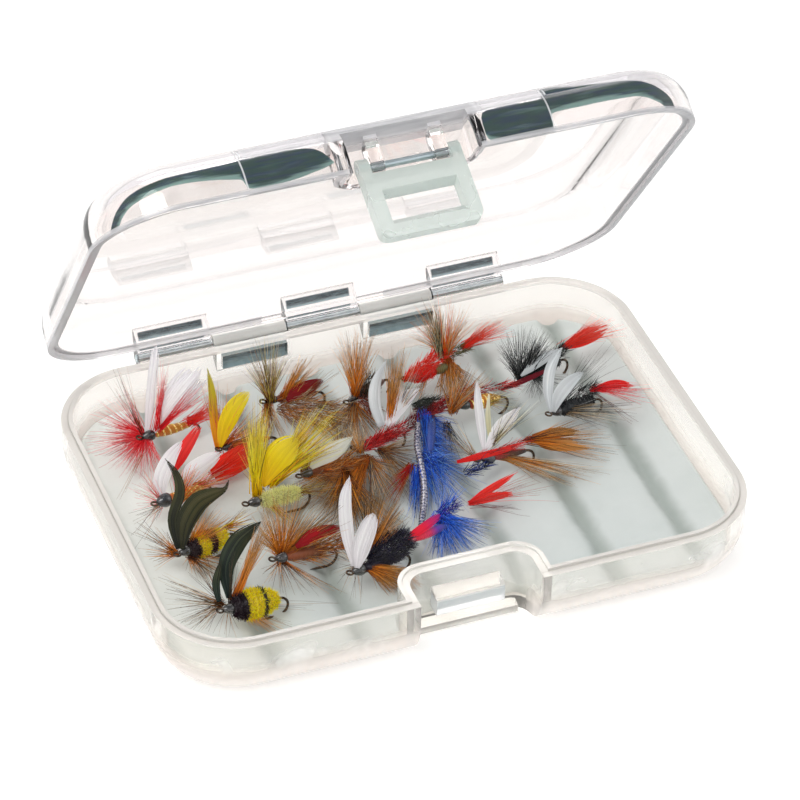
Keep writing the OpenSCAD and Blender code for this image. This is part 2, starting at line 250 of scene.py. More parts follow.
def clear_plastic():
    n = Nodes("clear_moulding")
    x, y, z = shut_coords(n)
    oc = n.object_coords()
    wave = n.noise(38.0, 1.5, 0.4, oc)
    fine = n.noise(900.0, 2.0, 0.6, oc)
    n.set(Transmission_Weight=1.0, IOR=1.47, Base_Color=(0.965, 0.925, 0.912, 1.0))
    n.set(Roughness=n.span(fine, 0.35, 0.75, 0.0, 0.05))
    n.set(Normal=n.bump(wave, 0.10, 0.0012))
    base = n.lamps_through((0.93, 0.93, 0.935)).outputs[0]
    # distance round the wall from the middle of the front, corners included
    ax = n.math("ABSOLUTE", x)
    side = n.math("SIGN", x)
    qx = n.math("MAXIMUM", n.math("SUBTRACT", ax, CASE_W / 2 - CORNER), 0.0)
    qf = n.math("SUBTRACT", n.math("MULTIPLY", y, -1.0), CASE_D / 2 - CORNER)
    qy = n.math("MAXIMUM", qf, 0.001)
    turn = n.math("ARCTAN2", qx, qy)
    s = n.math("MULTIPLY", side, n.math("ADD", n.math("MINIMUM", ax, CASE_W / 2 - CORNER), n.math("MULTIPLY", turn, CORNER)))
    reach = n.math("SQRT", n.math("ADD", n.math("MULTIPLY", qx, qx), n.math("MULTIPLY", qy, qy)))
    inner = n.math("LESS_THAN", reach, 15.3)
    front = n.math("GREATER_THAN", qf, 3.0)
    past_bay = n.math("GREATER_THAN", ax, 14.75)
    wob = n.math("MULTIPLY", n.math("SUBTRACT", n.noise(90.0, 2.0, 0.5, oc), 0.5), 0.9)
    # painted reflection: a dark green-black reflection band with painted lighter streaks, inside the front wall, in two
    # lengths on each side of the recess
    left = n.math("LESS_THAN", x, 0.0)
    high_l = n.curve(s, [(-64, 13.4), (-62, 14.4), (-60, 16.6), (-57.5, 18.6), (-54, 20.0), (-48, 20.7), (-40, 20.9), (-32.6, 21.1), (-31.4, 21.2),
                         (-26, 21.3), (-21, 21.2), (-18.4, 20.8), (-16.8, 20.0), (-15.6, 18.6), (-14.8, 17.4)])
    low_l = n.curve(s, [(-64, 13.4), (-60.4, 13.4), (-59, 14.8), (-56.6, 16.8), (-53, 18.2), (-48, 18.9), (-43, 19.0), (-38, 18.6), (-34.4, 18.0), (-32.6, 17.6),
                        (-31.4, 15.6), (-28, 15.3), (-24, 15.5), (-20, 16.0), (-16.8, 16.6), (-14.8, 17.2)])
    high_r = n.curve(s, [(14.8, 18.8), (15.2, 20.2), (16.2, 21.0), (18.5, 21.2), (22, 21.25), (27.6, 21.3), (28.6, 22.7), (34, 22.3), (42, 21.6), (46, 21.2), (49.5, 20.4),
                         (52.5, 18.9), (54.6, 16.8), (55.6, 13.4), (56.4, 13.4)])
    low_r = n.curve(s, [(14.8, 16.6), (15.4, 15.4), (17, 14.6), (19, 14.2), (22, 14.0), (27.4, 13.9), (28.4, 18.0), (32, 18.2), (38, 18.3), (43, 18.2), (46.5, 17.9),
                        (49.4, 17.0), (51.6, 15.6), (52.8, 13.6), (56.4, 13.4)])
    high = n.math("ADD", n.math("MULTIPLY", left, high_l), n.math("MULTIPLY", n.math("SUBTRACT", 1.0, left), high_r))
    low = n.math("ADD", n.math("MULTIPLY", left, low_l), n.math("MULTIPLY", n.math("SUBTRACT", 1.0, left), low_r))
    high = n.math("ADD", high, n.math("MULTIPLY", wob, 0.25))
    low = n.math("ADD", low, wob)
    rise = n.math("SUBTRACT", z, low)
    fall = n.math("SUBTRACT", high, z)
    reflection_band = n.product(n.span(rise, -0.1, 0.16, smooth=True), n.span(fall, -0.08, 0.14, smooth=True), inner, front, past_bay)
    reflection_band = n.math("MULTIPLY", reflection_band, n.within(s, -63.0, 55.8, 0.2))
    v = n.add("ShaderNodeCombineXYZ")
    n.link(n.math("MULTIPLY", s, 0.045), v.inputs[0])
    n.link(n.math("MULTIPLY", z, 0.5), v.inputs[2])
    streak = n.noise(2.2, 3.0, 0.5, v.outputs[0], 0.5)
    near_low = n.span(n.math("ADD", rise, n.math("MULTIPLY", n.math("SUBTRACT", streak, 0.5), 2.6)), 0.3, 1.2, 1.0, 0.0, smooth=True)
    tone = n.math("MAXIMUM", n.math("MULTIPLY", near_low, 0.85), n.span(streak, 0.55, 0.8, 0.0, 0.35))
    patch = n.span(n.noise(3.4, 2.0, 0.5, v.outputs[0], 0.3), 0.45, 0.60, smooth=True)
    dark = n.mix_colour(patch, lin(24, 56, 52), lin(20, 46, 66))
    base = n.over(base, n.shader(n.mix_colour(tone, dark, lin(118, 150, 144)), 0.3, spec=0.12), n.math("MULTIPLY", reflection_band, 0.97))
    # painted reflection: lilac-grey along the top edge, strongest over the recess
    brow_reflection = n.product(n.span(z, 20.6, 21.2, smooth=True), n.span(z, 25.2, 24.3, smooth=True), front, n.math("GREATER_THAN", qf, 8.5))
    brow_reflection = n.math("MULTIPLY", brow_reflection, n.span(x, -32.2, -31.6))
    brow_reflection = n.math("MULTIPLY", brow_reflection, n.math("ADD", n.math("MULTIPLY", n.span(ax, 15.4, 14.4), 0.46), 0.26))
    brow_reflection = n.math("MULTIPLY", brow_reflection, n.math("SUBTRACT", 1.0, reflection_band))
    brow = n.mix_colour(n.span(streak, 0.35, 0.65), lin(200, 200, 204), lin(234, 233, 236))
    base = n.over(base, n.shader(brow, 0.4), brow_reflection)
    # painted highlight: a light line along the edge of the thicker middle part of the front wall
    step = n.product(n.math("ADD", n.within(x, -31.95, -31.65, 0.08), n.within(x, 27.95, 28.25, 0.08)), inner, front, n.span(z, 23.5, 23.0))
    base = n.over(base, n.shader(lin(236, 240, 242), 0.3), n.math("MULTIPLY", step, 0.7))
    # painted reflection: the two faces of the rim show a soft grey
    rim = n.product(n.span(z, 15.15, 15.0), n.math("LESS_THAN", y, 43.0), n.math("GREATER_THAN", ax, 13.0))
    grey = n.mix_colour(n.span(streak, 0.4, 0.6), lin(192, 193, 197), lin(220, 220, 223))
    base = n.over(base, n.shader(grey, 0.35), n.math("MULTIPLY", rim, 0.6))
    # painted reflection: dark bars high in the hinge blocks
    off = n.math("MINIMUM", ax, n.math("ABSOLUTE", n.math("SUBTRACT", ax, 31.4)))
    bar = n.product(n.within(z, 16.35, 17.95, 0.06), n.math("GREATER_THAN", y, 43.62), n.span(off, 6.9, 6.6))
    bar_shader = shade_and_reflection_bar(n, x, n.span(z, 16.3, 18.0))
    base = n.over(base, bar_shader, n.math("MULTIPLY", bar, 0.95))
    n.link(base, n.out.inputs["Surface"])
    return n.mat


def frosted_plastic():
    n = Nodes("frosted_moulding")
    oc = n.object_coords()
    v = n.add("ShaderNodeVectorMath", operation="SCALE")
    n.link(oc, v.inputs[0])
    v.inputs["Scale"].default_value = 1000.0
    sep = n.add("ShaderNodeSeparateXYZ")
    n.link(v.outputs[0], sep.inputs[0])
    x, y, z = sep.outputs
    cloud = n.noise(55.0, 3.0, 0.5, oc)
    grain = n.noise(1600.0, 2.0, 0.6, oc)
    off = n.math("ABSOLUTE", n.math("SUBTRACT", n.math("ABSOLUTE", x), 15.7))
    # the barrels are polished and let the pin be seen
    polished = n.math("MULTIPLY", n.span(y, 43.7, 44.3), n.span(z, 9.5, 10.5))
    n.set(Transmission_Weight=n.span(polished, 0.0, 1.0, 0.86, 1.0), IOR=1.40)
    n.set(Base_Color=n.mix_colour(cloud, lin(252, 249, 243), lin(255, 253, 250)))
    n.set(Roughness=n.math("MULTIPLY", n.span(cloud, 0.3, 0.7, 0.05, 0.09), n.span(polished, 0.0, 1.0, 1.0, 0.3)))
    n.set(Normal=n.bump(grain, 0.04, 0.0002))
    base = n.lamps_through((0.95, 0.945, 0.935)).outputs[0]
    # how far in from the outer wall
    ax = n.math("ABSOLUTE", x)
    qx = n.math("MAXIMUM", n.math("SUBTRACT", ax, CASE_W / 2 - CORNER), 0.0)
    qy = n.math("MAXIMUM", n.math("SUBTRACT", n.math("ABSOLUTE", y), CASE_D / 2 - CORNER), 0.0)
    inward = n.math("SUBTRACT", CORNER, n.math("SQRT", n.math("ADD", n.math("MULTIPLY", qx, qx), n.math("MULTIPLY", qy, qy))))
    # white rim, and a fine dark line of painted shade at the foot of the sealing lip
    top = n.span(z, 13.75, 13.95)
    base = n.over(base, n.shader(lin(250, 247, 242), 0.4), n.math("MULTIPLY", top, 0.5))
    lip_foot_shade = n.product(top, n.within(inward, 1.2, 1.5, 0.08))
    base = n.over(base, n.shader(lin(176, 172, 166), 0.5), n.math("MULTIPLY", lip_foot_shade, 0.6))
    # painted highlights: milky white flecks in the front wall for glints of the crumpled foam behind it; and a thicker,
    # creamier foot
    painted_glint = n.product(n.span(y, -18.0, -26.0), n.within(z, 4.6, 10.8, 1.4), n.span(inward, 3.0, 2.4), n.span(n.noise(95.0, 3.0, 0.55, oc), 0.46, 0.74, smooth=True))
    base = n.over(base, n.shader(lin(252, 253, 252), 0.25), n.math("MULTIPLY", painted_glint, 0.5))
    foot = n.math("MULTIPLY", n.span(n.math("ADD", z, n.math("MULTIPLY", cloud, 2.4)), 10.2, 5.6, smooth=True), n.span(inward, 8.0, 4.0))
    base = n.over(base, n.shader(n.mix_colour(cloud, lin(255, 244, 237), lin(254, 252, 248)), 0.45), n.math("MULTIPLY", foot, 0.6))
    # painted shade: a cooler grey on the catch bar in the recess
    bar = n.product(n.math("LESS_THAN", ax, 7.3), n.within(y, -38.1, -34.6, 0.1), n.within(z, 5.2, 8.8, 0.3))
    base = n.over(base, n.shader(lin(196, 206, 212), 0.3), n.math("MULTIPLY", bar, 0.55))
    # painted shade and reflection: a dark bar in the slots of the hinge wall
    slot = n.product(n.math("LESS_THAN", off, 6.98), n.within(y, 41.45, 43.15, 0.08), n.within(z, 9.5, 13.0, 0.05))
    base = n.over(base, shade_and_reflection_bar(n, x, n.span(z, 9.6, 12.9)), n.math("MULTIPLY", slot, 0.95))
    n.link(base, n.out.inputs["Surface"])
    return n.mat


def pearl_plastic():
    n = Nodes("pearl_moulding")
    oc = n.object_coords()
    cloud = n.noise(120.0, 3.0, 0.5, oc)
    grain = n.noise(2200.0, 2.0, 0.6, oc)
    n.set(Transmission_Weight=0.55, IOR=1.45)
    n.set(Base_Color=n.mix_colour(cloud, lin(214, 223, 219), lin(234, 240, 237)))
    n.set(Roughness=n.span(cloud, 0.3, 0.7, 0.20, 0.32))
    n.set(Normal=n.bump(grain, 0.12, 0.00015))
    n.lamps_through((0.85, 0.87, 0.86))
    return n.mat


def pin_steel():
    n = Nodes("pin_steel_drawn")
    oc = n.object_coords()
    st = n.add("ShaderNodeMapping")
    st.inputs["Scale"].default_value = (60.0, 3000.0, 3000.0)
    n.link(oc, st.inputs["Vector"])
    lines = n.noise(1.0, 4.0, 0.6, st.outputs["Vector"])
    blotch = n.noise(320.0, 3.0, 0.65, oc)
    n.set(Metallic=1.0)
    n.set(Base_Color=n.mix_colour(blotch, lin(150, 170, 176), lin(226, 236, 238)))
    n.set(Roughness=n.span(lines, 0.3, 0.7, 0.16, 0.42))
    n.set(Normal=n.bump(lines, 0.2, 0.0001))
    return n.mat


def bronze_wire():
    n = Nodes("hook_bronzed_wire")
    oc = n.object_coords()
    blotch = n.noise(700.0, 3.0, 0.6, oc)
    n.set(Metallic=0.9)
    n.set(Base_Color=n.mix_colour(n.span(blotch, 0.35, 0.7), lin(42, 34, 30), lin(120, 104, 88)))
    n.set(Roughness=n.span(blotch, 0.3, 0.7, 0.2, 0.4))
    n.set(Normal=n.bump(n.noise(4000.0, 2.0, 0.5, oc), 0.1, 0.00005))
    return n.mat


def foam_material():
    n = Nodes("foam_sheet_skin")
    oc = n.object_coords()
    cloud = n.noise(28.0, 4.0, 0.6, oc)
    cells = n.add("ShaderNodeTexVoronoi")
    cells.inputs["Scale"].default_value = 1500.0
    n.link(oc, cells.inputs["Vector"])
    pits = n.noise(700.0, 4.0, 0.7, oc)
    sep = n.add("ShaderNodeSeparateXYZ")
    n.link(oc, sep.inputs[0])
    # painted shade: a deeper tone down in the valleys
    across = n.math("MODULO", n.math("ADD", n.math("MULTIPLY", sep.outputs["X"], 1000.0), GROOVE_PITCH * 5.5 - 12.7), GROOVE_PITCH)
    d = n.math("ABSOLUTE", n.math("SUBTRACT", across, GROOVE_PITCH / 2))
    d = n.math("ADD", d, n.math("MULTIPLY", n.math("SUBTRACT", n.noise(120.0, 3.0, 0.6, oc), 0.5), 2.2))
    valley_shade = n.span(d, 0.2, 3.2, 0.78, 0.0, smooth=True)
    skin = n.mix_colour(n.span(cloud, 0.3, 0.7), lin(192, 201, 199), lin(208, 214, 212))
    # painted light: lighter towards the left wall, where the foam is more lit
    skin = n.mix_colour(n.span(sep.outputs["X"], -0.026, -0.052, 0.0, 0.8, smooth=True), skin, lin(232, 235, 230))
    # painted light: lighter towards the back, against the shadow the flies cast there
    skin = n.mix_colour(n.span(sep.outputs["Y"], 0.008, 0.034, 0.0, 0.4, smooth=True), skin, lin(234, 240, 237))
    n.set(Base_Color=n.mix_colour(valley_shade, skin, lin(148, 158, 152)))
    n.set(Roughness=n.span(pits, 0.3, 0.7, 0.42, 0.7))
    h = n.math("ADD", n.math("MULTIPLY", cells.outputs["Distance"], 0.5), pits)
    n.set(Normal=n.bump(h, 0.22, 0.00012))
    n.set(Sheen_Weight=0.15, Sheen_Roughness=0.4)
    n.set(Subsurface_Weight=0.25, Subsurface_Scale=0.002)
    n.bsdf.inputs["Subsurface Radius"].default_value = (1.0, 1.0, 1.0)
    return n.mat


M_CLEAR = clear_plastic()
M_FROST = frosted_plastic()
M_PEARL = pearl_plastic()
M_STEEL = pin_steel()
M_WIRE = bronze_wire()
M_FOAM = foam_material()


# ---------------------------------------------------------------- mesh helpers
def link_object(name, mesh):
    o = bpy.data.objects.new(name, mesh)
    scene.collection.objects.link(o)
    return o


def eased_copy(node, name, width, angle=32.0, segments=2):
    """The CAD node's own surface with its sharp edges rounded over, as a moulding's are."""
    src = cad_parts[node].data
    bm = bmesh.new()
    bm.from_mesh(src)
    for key in list(bm.loops.layers.float_vector.keys()):
        bm.loops.layers.float_vector.remove(bm.loops.layers.float_vector[key])
    bmesh.ops.remove_doubles(bm, verts=bm.verts, dist=2e-6)
    bmesh.ops.dissolve_degenerate(bm, edges=bm.edges, dist=1e-6)
    bmesh.ops.dissolve_limit(bm, angle_limit=math.radians(0.4), verts=bm.verts, edges=bm.edges)
    edges = [e for e in bm.edges if len(e.link_faces) == 2 and e.calc_face_angle(0.0) > math.radians(angle)]
    bmesh.ops.bevel(bm, geom=edges, offset=width / 1000.0, offset_type="OFFSET", segments=segments, profile=0.5,
                    affect="EDGES", clamp_overlap=True, harden_normals=False)
    bmesh.ops.triangulate(bm, faces=[f for f in bm.faces if len(f.verts) > 4])
    mesh = bpy.data.meshes.new(name)
    bm.to_mesh(mesh)
    bm.free()
    if "custom_normal" in mesh.attributes:
        mesh.attributes.remove(mesh.attributes["custom_normal"])
    for a in ("sharp_edge", "sharp_face"):
        if a in mesh.attributes:
            mesh.attributes.remove(mesh.attributes[a])
    mesh.polygons.foreach_set("use_smooth", [True] * len(mesh.polygons))
    mesh.materials.clear()
    o = link_object(name, mesh)
    w = o.modifiers.new("even_normals", "WEIGHTED_NORMAL")
    w.mode = "FACE_AREA"
    w.weight = 60
    return o


def put_material(node, material):
    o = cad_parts[node]
    for s in o.material_slots:
        s.material = material
    if not o.material_slots:
        o.data.materials.append(material)


# ---------------------------------------------------------------- case
tray = eased_copy("base_tray", "tray_moulding", 0.28)
tray.data.materials.append(M_FROST)
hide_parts("base_tray")
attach(tray, "tray")

lid = eased_copy("lid", "lid_moulding", 0.22)
lid.data.materials.append(M_CLEAR)
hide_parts("lid")
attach(lid, "lid")

latch = eased_copy("latch", "latch_moulding", 0.3, segments=3)
latch.data.materials.append(M_PEARL)
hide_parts("latch")
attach(latch, "latch")

put_material("hinge_pin", M_STEEL)
put_material("latch_pin", M_STEEL)
for i in range(1, 20):
    put_material(f"hook_{i:02d}", M_WIRE)


# ---------------------------------------------------------------- foam sheet
def smooth01(a, b, x):
    t = np.clip((x - a) / (b - a), 0.0, 1.0)
    return t * t * (3 - 2 * t)


def value_noise(p, scale, seed):
    """Smooth noise on points (n, 3) in mm, about -1 to 1."""
    r = np.random.default_rng(seed)
    out = np.zeros(len(p))
    for k in range(6):
        d = r.normal(size=3)
        d /= np.linalg.norm(d)
        out += np.sin(p @ d / scale * (1 + 0.35 * k) * 2.1 + r.uniform(0, 6.28)) / 3.2
    return out


def make_foam():
    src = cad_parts["foam_insert"]
    mesh = src.data.copy()
    o = link_object("foam_sheet", mesh)
    if "custom_normal" in mesh.attributes:
        mesh.attributes.remove(mesh.attributes["custom_normal"])
    bpy.context.view_layer.objects.active = o
    for mod, kw in (("REMESH", dict(mode="VOXEL", voxel_size=0.00055)), ("SMOOTH", dict(factor=0.5, iterations=9))):
        md = o.modifiers.new(mod.lower(), mod)
        for k, v in kw.items():
            setattr(md, k, v)
    dg = bpy.context.evaluated_depsgraph_get()
    mesh2 = bpy.data.meshes.new_from_object(o.evaluated_get(dg))
    o.modifiers.clear()
    o.data = mesh2
    p = np.zeros(len(mesh2.vertices) * 3)
    mesh2.vertices.foreach_get("co", p)
    p = p.reshape(-1, 3) * 1000.0
    nrm = np.zeros(len(mesh2.vertices) * 3)
    mesh2.vertices.foreach_get("normal", nrm)
    up = smooth01(0.15, 0.7, nrm.reshape(-1, 3)[:, 2])
    top = up * smooth01(4.15, 4.45, p[:, 2])
    # the cut grooves have closed to soft valleys, with a light swell between them
    d = (p[:, 0] - 12.7 + GROOVE_PITCH / 2) % GROOVE_PITCH - GROOVE_PITCH / 2
    d = d + 0.45 * value_noise(p * [0.2, 1, 0], 9.0, 3)
    valley = np.exp(-np.abs(d / 1.7) ** 1.6)
    swell = 0.5 + 0.5 * np.cos((d - 1.5) / GROOVE_PITCH * 2 * math.pi)
    soft = FOAM_TOP - 0.08 - 1.5 * valley - 0.7 * swell + 0.05 * value_noise(p, 3.5, 5) + 0.03 * value_noise(p, 1.3, 6)
    edge = np.maximum(np.abs(p[:, 0]) - (CASE_W / 2 - CORNER), 0) ** 2 + np.maximum(np.abs(p[:, 1]) - (CASE_D / 2 - CORNER), 0) ** 2
    from_edge = smooth01(12.6, 11.2, np.sqrt(edge))
    p[:, 2] = p[:, 2] * (1 - top * from_edge) + np.minimum(soft, FOAM_TOP) * top * from_edge
    # the sheet's rim and underside are a little crumpled, always inwards
    side = 1.0 - smooth01(3.2, 5.2, p[:, 2])
    r = np.linalg.norm(p[:, :2], axis=1)
    crumple = np.clip(0.5 + 0.5 * value_noise(p, 3.2, 8), 0, 1) * 0.45
    p[:, :2] -= p[:, :2] / np.maximum(r, 1)[:, None] * (side * crumple)[:, None]
    p[:, 2] = np.maximum(p[:, 2], PANEL + 0.01)
    mesh2.vertices.foreach_set("co", (p / 1000.0).ravel())
    mesh2.polygons.foreach_set("use_smooth", [True] * len(mesh2.polygons))
    for a in ("sharp_edge", "sharp_face"):
        if a in mesh2.attributes:
            mesh2.attributes.remove(mesh2.attributes[a])
    mesh2.materials.clear()
    mesh2.materials.append(M_FOAM)
    mesh2.update()
    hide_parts("foam_insert")
    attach(o, "tray")
    return o


foam = make_foam()

# ---------------------------------------------------------------- flies: materials
def strand_material(name, rough, sheen, spec, streak=0.22, bump=0.25, through=0.45):
    """Dyed feather or fur: colour from the strand, broken up along and across it."""
    n = Nodes(name)
    tint = n.add("ShaderNodeAttribute", attribute_name="tint")
    st = n.add("ShaderNodeAttribute", attribute_name="st")
    mp = n.add("ShaderNodeMapping")
    mp.inputs["Scale"].default_value = (5.0, 31.0, 9.0)
    n.link(st.outputs["Vector"], mp.inputs["Vector"])
    lines = n.noise(1.0, 4.0, 0.6, mp.outputs["Vector"], 0.3)
    grain = n.noise(2600.0, 2.0, 0.6, n.object_coords())
    dark = n.mix_colour(1.0, tint.outputs["Color"], (1 - streak * 1.8,) * 3, "MULTIPLY")
    n.set(Base_Color=n.mix_colour(n.span(lines, 0.3, 0.62), dark, tint.outputs["Color"]))
    n.set(Roughness=n.span(grain, 0.3, 0.7, rough - 0.08, rough + 0.08))
    n.set(Normal=n.bump(lines, bump, 0.00012))
    n.set(Specular_IOR_Level=spec, Sheen_Weight=sheen, Sheen_Roughness=0.35)
    # painted light: the fibres glow faintly in their own colour
    n.set(Emission_Color=tint.outputs["Color"])
    n.bsdf.inputs["Emission Strength"].default_value = 0.12
    thin = n.add("ShaderNodeBsdfTranslucent")
    n.link(tint.outputs["Color"], thin.inputs["Color"])
    mix = n.add("ShaderNodeMixShader")
    mix.inputs[0].default_value = through
    n.link(n.bsdf.outputs[0], mix.inputs[1])
    n.link(thin.outputs[0], mix.inputs[2])
    n.link(mix.outputs[0], n.out.inputs["Surface"])
    return n.mat


def thread_material():
    n = Nodes("wound_thread")
    tint = n.add("ShaderNodeAttribute", attribute_name="tint")
    st = n.add("ShaderNodeAttribute", attribute_name="st")
    sep = n.add("ShaderNodeSeparateXYZ")
    n.link(st.outputs["Vector"], sep.inputs[0])
    turns = n.math("SINE", n.math("MULTIPLY", n.math("ADD", sep.outputs["X"], n.math("MULTIPLY", sep.outputs["Z"], 0.045)), 240.0))
    fuzz = n.noise(1800.0, 3.0, 0.6, n.object_coords())
    h = n.math("ADD", n.math("MULTIPLY", turns, 0.5), fuzz)
    # painted shade: darker down between the wound turns, mixed with random fuzz tone
    dark = n.mix_colour(1.0, tint.outputs["Color"], (0.55, 0.52, 0.5), "MULTIPLY")
    n.set(Base_Color=n.mix_colour(n.span(h, -0.1, 0.9), dark, tint.outputs["Color"]))
    n.set(Roughness=n.span(fuzz, 0.3, 0.7, 0.32, 0.55))
    n.set(Normal=n.bump(h, 0.45, 0.00012))
    n.set(Sheen_Weight=0.25, Sheen_Roughness=0.4)
    return n.mat


def varnish_material():
    n = Nodes("head_varnish")
    tint = n.add("ShaderNodeAttribute", attribute_name="tint")
    oc = n.object_coords()
    blotch = n.noise(900.0, 3.0, 0.6, oc)
    n.set(Base_Color=n.mix_colour(n.span(blotch, 0.35, 0.75), tint.outputs["Color"], lin(70, 68, 66)))
    n.set(Roughness=n.span(blotch, 0.3, 0.7, 0.08, 0.25), Coat_Weight=0.8, Coat_Roughness=0.06)
    n.set(Normal=n.bump(n.noise(1500.0, 2.0, 0.5, oc), 0.35, 0.0001))
    return n.mat


def tinsel_material():
    n = Nodes("body_tinsel")
    tint = n.add("ShaderNodeAttribute", attribute_name="tint")
    cells = n.noise(2400.0, 3.0, 0.7, n.object_coords())
    pale = n.mix_colour(0.45, tint.outputs["Color"], (1.0, 0.95, 0.85))
    n.set(Metallic=0.85, Base_Color=n.mix_colour(n.span(cells, 0.4, 0.65), tint.outputs["Color"], pale))
    n.set(Roughness=n.span(cells, 0.3, 0.7, 0.15, 0.4))
    n.set(Normal=n.bump(cells, 0.6, 0.0001))
    return n.mat


M_QUILL = strand_material("quill_slip", 0.5, 0.1, 0.35, streak=0.14, bump=0.5)
M_HACKLE = strand_material("hackle_fibre", 0.38, 0.0, 0.5, streak=0.1, bump=0.1)
M_FUZZ = strand_material("chenille_fibre", 0.75, 0.4, 0.2, streak=0.2, bump=0.1)
M_THREAD = thread_material()
M_VARNISH = varnish_material()
M_TINSEL = tinsel_material()

# ---------------------------------------------------------------- flies: mesh building
HX, HY = CASE_W / 2 - CORNER, CASE_D / 2 - CORNER


def keep(p):
    """Hold points inside the tray and below the shut lid, above the foam."""
    p = p.copy()
    z = p[..., 2]
    low = FOAM_TOP + 0.16
    z = np.where(z < low + 0.5, low + 0.5 * np.exp(np.clip((z - low - 0.5) / 0.9, -30, 0)), z)
    z = np.where(z > 21.3, 21.3 + 0.9 * (1 - np.exp(-(z - 21.3) / 1.2)), z)
    p[..., 2] = z
    inset = np.full(z.shape, WALL + 0.35)
    s = np.clip((z - 17.4) / 5.8, 0, 0.999)
    inset = inset + 5.7 * (1 - np.sqrt(1 - s * s))
    q = np.abs(p[..., :2]) - np.array([HX, HY])
    out = np.maximum(q, 0)
    far = np.sqrt((out ** 2).sum(-1))
    room = CORNER - inset
    f = np.where(far > room, room / np.maximum(far, 1e-6), 1.0)
    moved = np.sign(p[..., :2]) * (np.array([HX, HY]) + out * f[..., None])
    p[..., :2] = np.where(q > 0, moved, p[..., :2])
    bay = (np.abs(p[..., 0]) < 15.3) & (p[..., 1] < -31.5)
    p[..., 1] = np.where(bay, -31.5, p[..., 1])
    return p


def unit(v):
    return v / np.maximum(np.linalg.norm(v, axis=-1, keepdims=True), 1e-9)


def places(u, v, z):
    """As at(), for arrays."""
    d = FWD + ((u - 400.0) / FOCAL)[:, None] * RIGHT - ((v - 400.0) / FOCAL)[:, None] * UP
    return EYE + d * ((z - EYE[2]) / d[:, 2])[:, None]


def spline(points, k):
    """Catmull-Rom through points (j, d), resampled to k."""
    pts = np.asarray(points, float)
    if len(pts) == 1:
        return np.repeat(pts, k, 0)
    ext = np.vstack([2 * pts[0] - pts[1], pts, 2 * pts[-1] - pts[-2]])
    u = np.linspace(0, len(pts) - 1 - 1e-9, k)
    i = u.astype(int)
    t = (u - i)[:, None]
    a, b, c, d = ext[i], ext[i + 1], ext[i + 2], ext[i + 3]
    return 0.5 * (2 * b + (c - a) * t + (2 * a - 5 * b + 4 * c - d) * t ** 2 + (3 * b - a - 3 * c + d) * t ** 3)


class Bundle:
    """Collects closed strands and tubes into one mesh."""

    def __init__(self):
        self.v, self.quads, self.caps, self.tint, self.st, self.n = [], [], [], [], [], 0

    def add(self, path, a, b, tint, m=3, across=0.0):
        """path, a, b: (n, k, 3); tint (n, k, 3). a and b are the half axes of each section."""
        n, k = path.shape[:2]
        ang = np.arange(m) * 2 * math.pi / m
        v = path[:, :, None] + np.cos(ang)[None, None, :, None] * a[:, :, None] + np.sin(ang)[None, None, :, None] * b[:, :, None]
        idx = self.n + np.arange(n * k * m).reshape(n, k, m)
        q = np.stack([idx[:, :-1], np.roll(idx, -1, 2)[:, :-1], np.roll(idx, -1, 2)[:, 1:], idx[:, 1:]], -1).reshape(-1, 4)
        self.quads.append(q)
        self.caps.append((m, np.concatenate([idx[:, 0, ::-1], idx[:, -1]])))
        self.v.append(v.reshape(-1, 3))
        self.tint.append(np.repeat(tint[:, :, None], m, 2).reshape(-1, 3))
        s = np.broadcast_to(np.linspace(0, 1, k)[None, :, None], (n, k, m))
        r = np.broadcast_to(rng.uniform(0, 1, n)[:, None, None], (n, k, m))
        t = np.broadcast_to(ang[None, None, :] + across, (n, k, m))
        self.st.append(np.stack([s, r, t], -1).reshape(-1, 3))
        self.n += n * k * m

    def build(self, name, material, slot, body="tray"):
        v = np.concatenate(self.v) / 1000.0
        loops, totals = [np.concatenate(self.quads).ravel()], [np.full(sum(len(q) for q in self.quads), 4)]
        for m, c in self.caps:
            loops.append(c.ravel())
            totals.append(np.full(len(c), m))
        loops, totals = np.concatenate(loops), np.concatenate(totals)
        mesh = bpy.data.meshes.new(name)
        mesh.vertices.add(len(v))
        mesh.vertices.foreach_set("co", v.ravel())
        mesh.loops.add(len(loops))
        mesh.loops.foreach_set("vertex_index", loops)
        mesh.polygons.add(len(totals))
        mesh.polygons.foreach_set("loop_start", np.concatenate([[0], np.cumsum(totals)[:-1]]))
        mesh.polygons.foreach_set("use_smooth", np.ones(len(totals), bool))
        mesh.update(calc_edges=True)
        at1 = mesh.attributes.new("tint", "FLOAT_COLOR", "POINT")
        c = np.concatenate(self.tint)
        at1.data.foreach_set("color", np.hstack([c, np.ones((len(c), 1))]).astype(np.float32).ravel())
        at2 = mesh.attributes.new("st", "FLOAT_VECTOR", "POINT")
        at2.data.foreach_set("vector", np.concatenate(self.st).astype(np.float32).ravel())
        mesh.materials.append(material)
        o = link_object(name, mesh)
        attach(o, body)
        return o


def shade(colours, k, n, jitter=0.12):
    """Colours from root to tip on n strands, a little different on each. A list of
    palettes gives each strand one of them."""
    if isinstance(colours[0][0], (list, tuple)):
        pick = rng.integers(0, len(colours), n)
        sets = np.array([shade(c, k, 1, 0.0)[0] for c in colours])
        return np.clip(sets[pick] * (1 + rng.normal(0, jitter, (n, 1, 1))), 0, 1)
    c = np.array([lin(*x) for x in colours])
    u = np.linspace(0, len(c) - 1, k)
    i = np.minimum(u.astype(int), max(len(c) - 2, 0))
    f = (u - i)[:, None]
    base = c[i] * (1 - f) + c[np.minimum(i + 1, len(c) - 1)] * f
    return np.clip(base[None] * (1 + rng.normal(0, jitter, (n, 1, 1))), 0, 1) * np.ones((n, 1, 1))


